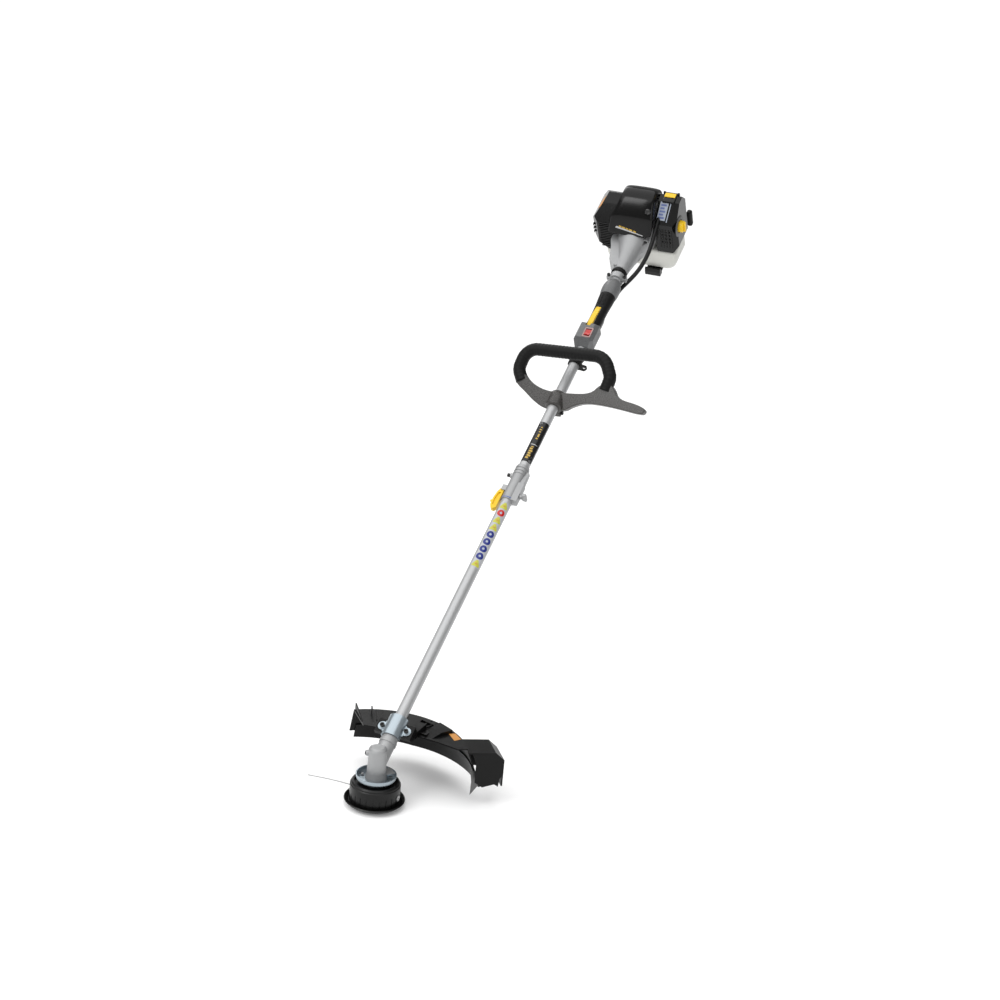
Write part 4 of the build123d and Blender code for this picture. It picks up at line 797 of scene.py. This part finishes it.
def bars(name: str, rows: int, columns: int, start: Point, row_step: Point, column_step: Point, size: Point,
         finish: str, place: Matrix = SHAFT) -> bpy.types.Object:
    """Rows of bars, made by Geometry Nodes in millimetres of the given frame.

    Args:
        name: the piece's name.
        rows: how many rows.
        columns: how many bars in a row.
        start: the first bar's centre.
        row_step: from one row to the next.
        column_step: from one bar to the next in a row.
        size: a bar's size.
        finish: the finish's name.
        place: the frame's matrix.

    Returns:
        The bars as one mesh.
    """
    carrier = linked(name, bpy.data.meshes.new(name))

    def metres(p: Point) -> tuple[float, ...]:
        """Millimetres to metres."""
        return tuple(v * MM for v in p)

    return GeometryTrees.run(carrier, GeometryTrees.rows(), {
        "Rows": rows, "Columns": columns, "Start": metres(start), "Row Step": metres(row_step),
        "Column Step": metres(column_step), "Size": metres(size)}, finish, place)


def keep(obj: bpy.types.Object, body: Body) -> bpy.types.Object:
    """Hangs a finished piece on its body and reports it.

    Args:
        obj: the piece.
        body: the body that it rides on.

    Returns:
        The same object.
    """
    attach(obj, body.value)
    log.info("%s rides %s with %d faces", obj.name, body.value, len(getattr(obj.data, "polygons", [])))
    return obj


# ---------------------------------------------------------------- sub-assemblies
@dataclass
class CadDressing:
    """Gives every CAD node the finish of its slot."""

    overrides: dict[str, str] = field(default_factory=lambda: {
        "latch_pin": "dark_screw", "throttle_conduit": "black_nylon", "harness_clip": "soft_black",
        "coupler_knob": "cast_silver"})

    def dress(self) -> None:
        """Replaces each node's plain material with its slot's finish."""
        for part in frame["record"]["subparts"]:
            node = frame["nodes"].get(part["node"])
            if node is None:
                continue
            finish = FINISHES[self.overrides.get(part["node"], part["material_slot"])]
            node.data.materials.clear()
            node.data.materials.append(finish.material())
            log.info("%s is finished as %s", part["node"], finish.name)


@dataclass
class CuttingLine:
    """The nylon line's free end."""

    route: tuple[Point, ...] = ((0, 51, 27), (0, 78, 27), (-1.5, 104, 26.6), (-3.6, 130, 25.8), (-6.4, 156, 24.6))
    diameter: float = 2.4

    def build(self) -> bpy.types.Object:
        """Returns:
            The line, a swept curve that stands for the plain one.
        """
        curve = bpy.data.curves.new("nylon_line", "CURVE")
        curve.dimensions = "3D"
        curve.resolution_u = 12
        curve.bevel_depth = self.diameter / 2 * MM
        curve.bevel_resolution = 4
        curve.use_fill_caps = True
        spline = curve.splines.new("NURBS")
        spline.points.add(len(self.route) - 1)
        for spot, p in zip(spline.points, self.route):
            spot.co = (*(v * MM for v in p), 1.0)
        spline.order_u = 3
        spline.use_endpoint_u = True
        curve.materials.append(FINISHES["line_grey"].material())
        line = linked("nylon_line", curve)
        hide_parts("cutting_line")
        keep(line, Body.HEAD)
        return line


@dataclass
class ShaftLabels:
    """The generic labels on the two tubes."""

    mark_span: tuple[float, float] = (527.0, 719.0)
    band_span: tuple[float, float] = (847.0, 972.0)
    facing: float = -22.0
    marks: tuple[tuple[str, str], ...] = (
        ("wedge", "lime_print"), ("disc", "blue_print"), ("disc", "blue_print"), ("disc", "blue_print"),
        ("disc", "blue_print"), ("wedge", "lime_print"), ("wedge", "lime_print"),
        ("disc", "red_plastic"), ("wedge", "lime_print"))

    def _shape(self, kind: str, half: float) -> list[Point]:
        """Returns:
            A mark's outline, as (along, round).
        """
        if kind == "disc":
            return disc(half)
        half *= 1.12
        corners = [(half * 0.9, 2.0), (half * 0.9, -2.0), (-half * 0.5, -half), (-half * 0.8, -half * 0.8),
                   (-half * 0.8, half * 0.8), (-half * 0.5, half)]
        return dense(corners, 2.0)

    def build(self) -> list[bpy.types.Object]:
        """Returns:
            Every label piece.
        """
        made = []
        low, high = self.mark_span
        film = tube_decal("mark_film", dense(rounded((high - low) / 2, 11.0, 3.0), 4.0), (low + high) / 2,
                          self.facing, TUBE_R + 0.04, "label_clear")
        made.append(keep(film, Body.ATTACHMENT))
        step = (high - low) / len(self.marks)
        for index, (kind, finish) in enumerate(self.marks):
            station = low + step * (index + 0.5)
            mark = tube_decal(f"colour_mark_{index}", self._shape(kind, 9.2), station, self.facing, TUBE_R + 0.18,
                              finish, 0.08)
            made.append(keep(mark, Body.ATTACHMENT))
            inner = tube_decal(f"mark_centre_{index}", disc(3.0, 16), station - (0.8 if kind != "disc" else 0),
                               self.facing, TUBE_R + 0.28, "label_pale" if kind == "disc" else "gold_print", 0.06)
            made.append(keep(inner, Body.ATTACHMENT))
        low, high = self.band_span
        band = tube_decal("band_label", dense(rounded((high - low) / 2, 16.0, 4.0), 4.0), (low + high) / 2,
                          self.facing + 6, TUBE_R + 0.04, "label_black")
        made.append(keep(band, Body.POWERHEAD))
        for index, (start, length, round_at, width) in enumerate((
                (9, 5, 3.0, 7.0), (52, 2, 0.0, 18.0), (16, 5, 1.0, 9.0), (23, 5, 2.0, 7.0), (30, 5, 1.0, 9.0),
                (37, 5, 2.0, 7.0), (44, 3, 1.0, 6.0), (70, 4, 1.0, 5.0), (77, 10, 0.0, 4.0), (92, 3, 1.0, 5.0),
                (99, 3, 1.0, 6.0), (106, 3, 1.0, 4.0))):
            mark = tube_decal(f"band_mark_{index}", dense(rounded(length / 2, width / 2, 1.2), 3.0),
                              low + start + length / 2, self.facing + 6 + math.degrees(round_at / TUBE_R),
                              TUBE_R + 0.18, "silver_print" if index == 1 else "gold_print", 0.08)
            made.append(keep(mark, Body.POWERHEAD))
        return made


@dataclass
class LoopGrip:
    """The rubber sleeve of the loop handle, swept along its own path."""

    station: float = 1055.0
    lean: float = 57.0
    roll: float = 7.0
    radius: float = 15.5
    corners: tuple[Point, ...] = ((96, 32), (115, 67), (101, 120), (-106, 117), (-129, 68), (-122, 38))
    radii: tuple[float, ...] = (30, 38, 42, 28)

    def path(self) -> list[Vector]:
        """Returns:
            The centreline, in millimetres of the loop's plane.
        """
        spots = [Vector((0, *c)) for c in self.corners]
        line = [spots[0]]
        for before, here, after, radius in zip(spots, spots[1:], spots[2:], self.radii):
            back, ahead = (before - here).normalized(), (after - here).normalized()
            half = back.angle(ahead) / 2
            reach = radius / math.tan(half)
            centre = here + (back + ahead).normalized() * (radius / math.sin(half))
            start, end = here + back * reach - centre, here + ahead * reach - centre
            for i in range(13):
                line.append(centre + start.slerp(end, i / 12, start).normalized() * radius)
        line.append(spots[-1])
        return line

    def build(self) -> bpy.types.Object:
        """Returns:
            The sleeve, which stands for the plain one.
        """
        spots = self.path()
        first = spots[0] + (spots[1] - spots[0]).normalized() * 8
        last = spots[-1] - (spots[-2] - spots[-1]).normalized() * 3
        spots = [first, *spots[1:-1], last]
        curve = bpy.data.curves.new("loop_sleeve", "CURVE")
        curve.dimensions = "3D"
        spline = curve.splines.new("POLY")
        spline.points.add(len(spots) - 1)
        place = loop_matrix(self.station, self.lean, self.roll)
        for spot, p in zip(spline.points, spots):
            spot.co = (*(place @ (p * MM)), 1.0)
        carrier = linked("loop_sleeve", curve)
        sleeve = GeometryTrees.run(carrier, GeometryTrees.ribbed_sleeve(), {
            "Radius": self.radius * MM, "Pitch": 9.0 * MM, "Depth": 0.02, "Step": 1.2 * MM}, "soft_black")
        smooth(sleeve, 50)
        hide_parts("loop_handle_grip")
        return keep(sleeve, Body.POWERHEAD)


@dataclass
class LoopFrame:
    """The grey frame that carries the loop grip, with its long bar and its clamp on the tube."""

    station: float = 1055.0
    half: float = 9.0
    clamp_radius: float = 21.0
    outline: tuple[Point, ...] = (
        (111, 30), (84, 12), (58, -8), (25, -25), (-25, -26), (-46, -11), (-80, 1), (-150, -3), (-222, -14), (-232, -8),
        (-232, 0), (-216, 9), (-158, 19), (-146, 42), (-128, 56), (-108, 47), (-88, 24), (-40, 19), (22, 19),
        (60, 30), (84, 45), (94, 58), (122, 52))

    def _softened(self, rounds: int = 2) -> list[Point]:
        """Cuts the outline's corners, again and again, until it curves.

        Args:
            rounds: how many times.

        Returns:
            The softer outline.
        """
        line = [tuple(p) for p in self.outline]
        for _ in range(rounds):
            cut = []
            for here, there in zip(line, line[1:] + line[:1]):
                cut += [tuple(a * 0.75 + b * 0.25 for a, b in zip(here, there)),
                        tuple(a * 0.25 + b * 0.75 for a, b in zip(here, there))]
            line = cut
        return line

    def build(self) -> list[bpy.types.Object]:
        """Returns:
            The plate, the collar and the bolt block.
        """
        loop = LoopGrip()
        plate = prism("loop_frame_plate", self._softened(), lambda u, v: (-self.half, u, v), (1, 0, 0),
                      2 * self.half, "grey_mica", loop_matrix(self.station, loop.lean, loop.roll))
        bevelled(smooth(plate, 40), 5.5, 5)
        place = SHAFT @ Matrix.Translation((self.station * MM, 0, 0)) @ Matrix.Rotation(
            math.radians(-loop.roll), 4, "X")
        radius = self.clamp_radius
        collar = turned("loop_frame_collar", [
            (-26, TUBE_R + 0.4), (-26, radius - 3), (-24.5, radius - 1), (-22, radius), (14, radius),
            (17, radius - 1.5), (18, radius - 4), (18, TUBE_R + 0.4)], "grey_mica", place)
        block = prism("loop_frame_block", [(-26, -12.9), (16, -12.9), (16, 12.9), (-26, 12.9)],
                      lambda u, v: (u, v, -30), (0, 0, 1), 14, "grey_mica", place)
        bevelled(block, 2.0, 3)
        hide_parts("loop_handle_frame")
        return [keep(obj, Body.POWERHEAD) for obj in (plate, collar, block)]


@dataclass
class EngineTrim:
    """Louvres, vents, labels and rims on the engine's covers."""

    fold: tuple[float, float] = (1625.8, 78.3)
    lip: tuple[float, float] = (1603.8, 41.3)

    def _shroud(self) -> bpy.types.Object:
        """Returns:
            The rounded engine shroud, which stands for the plain one.
        """
        rows = ((1604, 38, 7, 57, 6), (1607, 43, 7, 58, 14), (1626, 74, 6, 58, 26), (1632, 82, 4, 56, 30),
                (1655, 104, 0, 49, 30), (1672, 117, -2, 46, 30), (1690, 119, -2, 45, 30), (1704, 117, -2, 45, 30),
                (1728, 99, 0, 48, 30), (1732, 92, 0, 49, 28), (1734, 60, 0, 50, 20), (1734, 38, 0, 50, 12))
        points: list[Point] = []
        for index, (s, n, centre, half, depth) in enumerate(rows):
            before, after = rows[max(0, index - 1)], rows[min(len(rows) - 1, index + 1)]
            along = Vector((after[0] - before[0], 0, after[1] - before[1])).normalized()
            inward = Vector((along.z, 0, -along.x))
            for u, v in ((1, 1), (1, 0.45), (0.97, 0.12), (0.82, 0), (0.3, -0.03), (-0.3, -0.03), (-0.82, 0),
                         (-0.97, 0.12), (-1, 0.45), (-1, 1)):
                points.append(Vector((s, centre + u * half, n)) + inward * (v * depth))
        size = 10
        faces = [(i * size + j, i * size + (j + 1) % size, (i + 1) * size + (j + 1) % size, (i + 1) * size + j)
                 for i in range(len(rows) - 1) for j in range(size)]
        faces += [tuple(reversed(range(size))), tuple(range(len(points) - size, len(points)))]
        shroud = smooth(piece("shroud_shell", points, faces, "black_gloss"), 60)
        rounding = shroud.modifiers.new("rounding", "SUBSURF")
        rounding.levels = rounding.render_levels = 3
        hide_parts("engine_shroud")
        return shroud

    def _latch(self) -> list[bpy.types.Object]:
        """Returns:
            The filter latch: a black plate with a yellow tab at its upper end.
        """
        def face(u: float, v: float) -> Point:
            """A point on the cover's top, from (y, station)."""
            return (v, u, 94.4)

        plate = prism("latch_plate", [(-62.4, 1683.4), (-62.4, 1715.6), (-93.6, 1715.6), (-93.6, 1683.4)], face,
                      (0, 0, 1), 6.4, "black_gloss")
        tab = prism("latch_tab", [(-63, 1699), (-63, 1714), (-92, 1714), (-92, 1699)],
                    lambda u, v: (v, u, 100.6), (0, 0, 1), 2.6, "yellow_plastic")
        for obj in (plate, tab):
            bevelled(obj, 1.2)
            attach(obj, "filter_latch")
        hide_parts("filter_latch")
        return [plate, tab]

    def _rope(self) -> bpy.types.Object:
        """Returns:
            The starter's rope, from inside the housing to the handle.
        """
        s, n, inner, outer, radius, sides, rings = 1753.0, -10.0, -52.0, -99.0, 1.7, 12, 12
        points = []
        for ring in range(rings + 1):
            y = inner + (outer - inner) * ring / rings
            points += [(s + radius * math.cos(2 * math.pi * i / sides), y,
                        n + radius * math.sin(2 * math.pi * i / sides)) for i in range(sides)]
        faces = [(r * sides + i, r * sides + (i + 1) % sides, (r + 1) * sides + (i + 1) % sides, (r + 1) * sides + i)
                 for r in range(rings) for i in range(sides)]
        faces += [tuple(reversed(range(sides))), tuple(range(rings * sides, (rings + 1) * sides))]
        rope = smooth(piece("starter_rope", points, faces, "soft_black"))
        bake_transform(rope)
        return rope

    def _front(self, u: float, v: float) -> Point:
        """A point on the shroud's front face.

        Args:
            u: its y.
            v: its share of the way from the fold down to the lip.

        Returns:
            The point in the shaft frame.
        """
        return (self.fold[0] + (self.lip[0] - self.fold[0]) * v, u, self.fold[1] + (self.lip[1] - self.fold[1]) * v)

    def build(self) -> list[bpy.types.Object]:
        """Returns:
            Every piece of trim.
        """
        normal = (-0.86, 0.0, 0.51)
        made = [
            self._shroud(),
            bars("muffler_louvres", 14, 1, (1625.4, 76, -30), (0, 0, 6.0), (0, 1, 0), (1.6, 36, 2.4), "black_gloss"),
            bars("muffler_side_ribs", 3, 8, (1640, 116.4, 2), (0, 0, 12), (11, 0, 0), (6, 1.2, 7), "black_nylon"),
            bars("filter_grille", 8, 5, (1649.6, -62, -26), (0, 0, 8), (0, -7.6, 0), (1.4, 2.2, 6.4), "black_nylon"),
            prism("stripe_silver", [(44, 0.66), (40, 0.56), (-32, 0.9), (-32, 0.95)], self._front, normal, 0.3,
                  "silver_print"),
        ]
        for index, (start, end) in enumerate(((34, 27), (25, 17), (15, 8), (6, -3), (-6, -13))):
            top = 0.5 + (34 - start) * 0.0045
            made.append(prism(f"stripe_gold_{index}", [(start, top), (end, top + 0.04), (end, top + 0.14),
                                                       (start, top + 0.1)], self._front, normal, 0.3, "gold_print"))
        for obj in made:
            keep(obj, Body.POWERHEAD)
        return made + self._filter_trim() + self._neck_trim() + self._muffler_patch() + self._latch() + [self._rope()]

    def _filter_trim(self) -> list[bpy.types.Object]:
        """Returns:
            The filter cover's sticker, its printed marks and the rim round the choke knob.
        """
        def face(u: float, v: float) -> Point:
            """A point on the cover's slanted front, from (y, share up)."""
            return (1650 + 38 * v, u + 7 * (1 - v), 48 + 47 * v)

        normal = (-0.777, 0.0, 0.628)
        lift = tuple(0.3 * b for b in normal)

        def raised(u: float, v: float) -> Point:
            """The same face, just above the sticker."""
            return tuple(a + b for a, b in zip(face(u, v), lift))

        made = [
            prism("filter_sticker", [(-58, 0.2), (-58, 0.99), (-80, 0.99), (-80, 0.2)], face, normal, 0.25,
                  "label_pale"),
            prism("filter_line", [(-84, 0.14), (-84, 0.99), (-86.5, 0.99), (-86.5, 0.14)], face, normal, 0.25,
                  "label_pale"),
            turned("choke_rim", [(-107.2, 17), (-107.2, 28), (-108.6, 27), (-109.4, 24), (-109.4, 18)], "rim_grey",
                   SHAFT @ Matrix.Translation((1672 * MM, 0, 34 * MM)), 56, "y"),
        ]
        for index in range(5):
            low = 0.27 + 0.135 * index
            end = -76 + index % 2 * 4
            made.append(prism(f"sticker_mark_{index}", [(-61, low), (-61, low + 0.08), (end, low + 0.08), (end, low)],
                              raised, normal, 0.1, "pale_blue"))
        for obj in made:
            keep(obj, Body.POWERHEAD)
        return made

    def _neck_trim(self) -> list[bpy.types.Object]:
        """Returns:
            The rubber ring on the clutch housing's neck.
        """
        ring = turned("neck_ring", [(1497.5, 16.9), (1497.5, 19.6), (1499, 20.6), (1505, 20.6), (1507.5, 19.6),
                                    (1507.5, 16.9)], "soft_black")
        return [keep(ring, Body.POWERHEAD)]

    def _muffler_patch(self) -> list[bpy.types.Object]:
        """Returns:
            The plain orange patch high on the muffler cover's outer side.
        """
        def facet(u: float, v: float) -> Point:
            """A point on the upper chamfer, from (station, y)."""
            return (u, v, 92 - (v - 87) * 42 / 29)

        patch = prism("muffler_patch", [(1654, 98), (1660, 93), (1690, 92), (1690, 106), (1662, 109)], facet,
                      (0, 0.823, 0.568), 0.35, "orange_print")
        return [keep(patch, Body.POWERHEAD)]


@dataclass
class HandleTrim:
    """The rear handle's switch bezel and grip ribs."""

    switch: tuple[float, float] = (1258.0, -9.0)

    def build(self) -> list[bpy.types.Object]:
        """Returns:
            Every piece of trim.
        """
        x, y = self.switch
        outer, inner = rounded(16, 10.6, 2.5), rounded(12.3, 7.6, 1.0)
        count = len(outer)
        points = [(x + u, y + v, z) for z in (33.9, 34.7) for line in (outer, inner) for u, v in line]
        faces = []
        for i in range(count):
            j = (i + 1) % count
            faces += [(i, j, count + j, count + i), (2 * count + i, 2 * count + j, 3 * count + j, 3 * count + i),
                      (i, j, 2 * count + j, 2 * count + i), (count + i, count + j, 3 * count + j, 3 * count + i)]
        bezel = piece("switch_bezel", points, faces, "bezel_pale")
        ribs = bars("grip_ribs", 9, 1, (1374, 0, 18.1), (4.2, 0, 0.23), (0, 1, 0), (1.6, 14, 1.2), "soft_black")
        return [keep(bezel, Body.POWERHEAD), keep(ribs, Body.POWERHEAD)]


@dataclass
class GuardTrim:
    """The guard's ribs, washers, end wall and plain patch."""

    ear: tuple[float, float, float] = (91.0, 28.0, 2.5)

    def build(self) -> list[bpy.types.Object]:
        """Returns:
            Every piece of trim.
        """
        made = []
        s, y, n = self.ear
        for side in (1, -1):
            washer = turned(f"guard_washer_{'left' if side > 0 else 'right'}",
                            [(n + 0.05, 5.1), (n + 0.05, 8.2), (n + 1.3, 8.2), (n + 1.3, 5.1)], "zinc",
                            SHAFT @ Matrix.Translation((s * MM, side * y * MM, 0)), 40, "z")
            made.append(keep(washer, Body.ATTACHMENT))
        end = prism("guard_end_wall", [(205, 56), (222, 44), (248, 50), (257, 44), (259, 62), (265, 70), (265, 104),
                                         (245, 121), (196, 122), (205, 100)],
                    lambda u, v: (u, -33.8, v), (0, 1, 0), 2.6, "black_guard",
                    Matrix.Rotation(math.radians(-52), 4, "Z"))
        made.append(keep(bevelled(end, 0.6), Body.ATTACHMENT))
        turn = Matrix.Rotation(math.radians(-38), 4, "Z")
        patch = prism("guard_patch", [(169, -19), (186, -17), (187, 11), (173, 14)],
                      lambda u, v: (u, v, 127.1), (0, 0, 1), 0.5, "orange_print", turn)
        made.append(keep(patch, Body.ATTACHMENT))
        for index, angle in enumerate((-16.5, -12.0, 24.0, 28.0)):
            rib = bars(f"guard_ribs_{index}", 1, 1, (158, 0, 128.4), (1, 0, 0), (0, 1, 0), (52, 2.0, 3.0),
                       "black_guard", Matrix.Rotation(math.radians(angle), 4, "Z"))
            made.append(keep(rib, Body.ATTACHMENT))
        return made


@dataclass
class HeadTrim:
    """The gear case's flange screws and the coupler's pale ring."""

    screw_circle: float = 31.0
    screw_seat: float = 60.4
    screw_size: tuple[float, float] = (2.6, 3.0)

    def build(self) -> list[bpy.types.Object]:
        """Returns:
            Every piece of trim.
        """
        radius, height = self.screw_size
        carrier_points = [(self.screw_circle * math.cos(math.radians(a)), self.screw_circle * math.sin(math.radians(a)),
                           self.screw_seat) for a in range(20, 380, 72)]
        mesh = bpy.data.meshes.new("case_flange_screws")
        mesh.from_pydata([Vector(p) * MM for p in carrier_points], [], [tuple(range(len(carrier_points)))])
        carrier = linked("case_flange_screws", mesh)
        screws = GeometryTrees.run(carrier, GeometryTrees.ring_of_screws(),
                                   {"Radius": radius * MM, "Height": height * MM}, "steel")
        ring = turned("coupler_band", [(733, 15.55), (733, 15.8), (735.5, 15.8), (735.5, 15.55)], "pale_blue")
        return [keep(screws, Body.ATTACHMENT), keep(ring, Body.POWERHEAD)]


# ---------------------------------------------------------------- studio
@dataclass
class Studio:
    """The camera, the floor and the lights."""

    azimuth: float = 21.4
    elevation: float = 18.2
    roll: float = -5.5
    distance: float = 4131.0
    focal: float = 1761.0
    middle: tuple[float, float, float] = (650.0, 0.0, 450.0)
    shift: tuple[float, float] = (-30.6, 45.4)
    floor_half: float = 400.0
    lamps: tuple[tuple[str, Point, Point, float, float], ...] = (
        ("key", (-2.4, 1.6, 3.2), (0.6, 0, 0.5), 1.4, 34), ("side", (-1.0, -3.0, 2.0), (0.8, 0, 0.6), 1.0, 12),
        ("rim", (2.8, 1.6, 2.6), (1.0, 0, 0.7), 1.2, 16))

    def camera(self) -> bpy.types.Object:
        """Returns:
            The camera, which looks at the object as the fitted view does.
        """
        az, el, roll = (math.radians(v) for v in (self.azimuth, self.elevation, self.roll))
        ahead = Vector((math.cos(az) * math.cos(el), math.sin(az) * math.cos(el), -math.sin(el)))
        right = ahead.cross(Vector((0, 0, 1))).normalized()
        up = right.cross(ahead)
        right, up = (right * math.cos(roll) - up * math.sin(roll), up * math.cos(roll) + right * math.sin(roll))
        place = Vector(self.middle) + right * self.shift[0] + up * self.shift[1] - ahead * self.distance
        data = bpy.data.cameras.new("camera")
        data.sensor_width = 36.0
        data.lens = self.focal / 1000 * 36.0
        data.clip_start, data.clip_end = 0.05, 2000.0
        camera = linked("camera", data)
        camera.matrix_world = Matrix.Translation(place * MM) @ Matrix(
            [(right[i], up[i], -ahead[i]) for i in range(3)]).to_4x4()
        bpy.context.scene.camera = camera
        return camera

    def floor(self) -> bpy.types.Object:
        """Returns:
            A wide white floor.
        """
        mesh = bpy.data.meshes.new("floor")
        half = self.floor_half
        mesh.from_pydata([(-half, -half, 0), (half, -half, 0), (half, half, 0), (-half, half, 0)], [], [(0, 1, 2, 3)])
        made = bpy.data.materials.new("floor_white")
        made.use_nodes = True
        shader = made.node_tree.nodes["Principled BSDF"]
        shader.inputs["Base Color"].default_value = (0.9, 0.9, 0.9, 1)
        shader.inputs["Roughness"].default_value = 0.9
        shader.inputs["Specular IOR Level"].default_value = 0.1
        shader.inputs["Emission Color"].default_value = (1, 1, 1, 1)
        shader.inputs["Emission Strength"].default_value = 0.12
        mesh.materials.append(made)
        floor = linked("floor", mesh)
        return floor

    def area(self, name: str, place: Point, aim: Point, size: float, power: float) -> bpy.types.Object:
        """An area light.

        Args:
            name: its name.
            place: where it stands, in metres.
            aim: what it points at, in metres.
            size: its width, in metres.
            power: its power, in watts.

        Returns:
            The light.
        """
        data = bpy.data.lights.new(name, "AREA")
        data.energy, data.size = power, size
        light = bpy.data.objects.new(name, data)
        light.location = Vector(place)
        light.rotation_mode = "QUATERNION"
        light.rotation_quaternion = (Vector(aim) - Vector(place)).to_track_quat("-Z", "Y")
        bpy.context.scene.collection.objects.link(light)
        return light

    def build(self) -> None:
        """Sets up the view, the white surroundings and three soft lights."""
        self.camera()
        self.floor()
        self._surroundings()
        bpy.context.scene.view_settings.view_transform = "Standard"
        for lamp in self.lamps:
            self.area(*lamp)
        sun = bpy.data.lights.new("sky", "SUN")
        sun.energy, sun.angle = 2.6, math.radians(95)
        light = bpy.data.objects.new("sky", sun)
        light.rotation_euler = (math.radians(-12), math.radians(-16), 0)
        bpy.context.scene.collection.objects.link(light)

    def _surroundings(self) -> None:
        """White behind everything, and a dimmer surround for what the surfaces reflect."""
        world = bpy.data.worlds.new("surroundings")
        world.use_nodes = True
        tree = world.node_tree
        lit = tree.nodes["Background"]
        lit.inputs["Color"].default_value = (1, 1, 1, 1)
        lit.inputs["Strength"].default_value = 0.3
        seen = tree.nodes.new("ShaderNodeBackground")
        seen.inputs["Color"].default_value = (1, 1, 1, 1)
        mix = tree.nodes.new("ShaderNodeMixShader")
        path = tree.nodes.new("ShaderNodeLightPath")
        tree.links.new(path.outputs["Is Camera Ray"], mix.inputs["Fac"])
        tree.links.new(lit.outputs["Background"], mix.inputs[1])
        tree.links.new(seen.outputs["Background"], mix.inputs[2])
        tree.links.new(mix.outputs["Shader"], tree.nodes["World Output"].inputs["Surface"])
        bpy.context.scene.world = world


def main() -> None:
    """Builds every sub-assembly in order, then the studio."""
    logging.basicConfig(level=logging.INFO, format="%(name)s: %(message)s")
    CadDressing().dress()
    CuttingLine().build()
    for assembly in (ShaftLabels(), HeadTrim(), GuardTrim(), LoopFrame(), HandleTrim(), EngineTrim()):
        made = assembly.build()
        log.info("%s made %d pieces", type(assembly).__name__, len(made))
    LoopGrip().build()
    Studio().build()


if __name__ == "__main__":
    main()
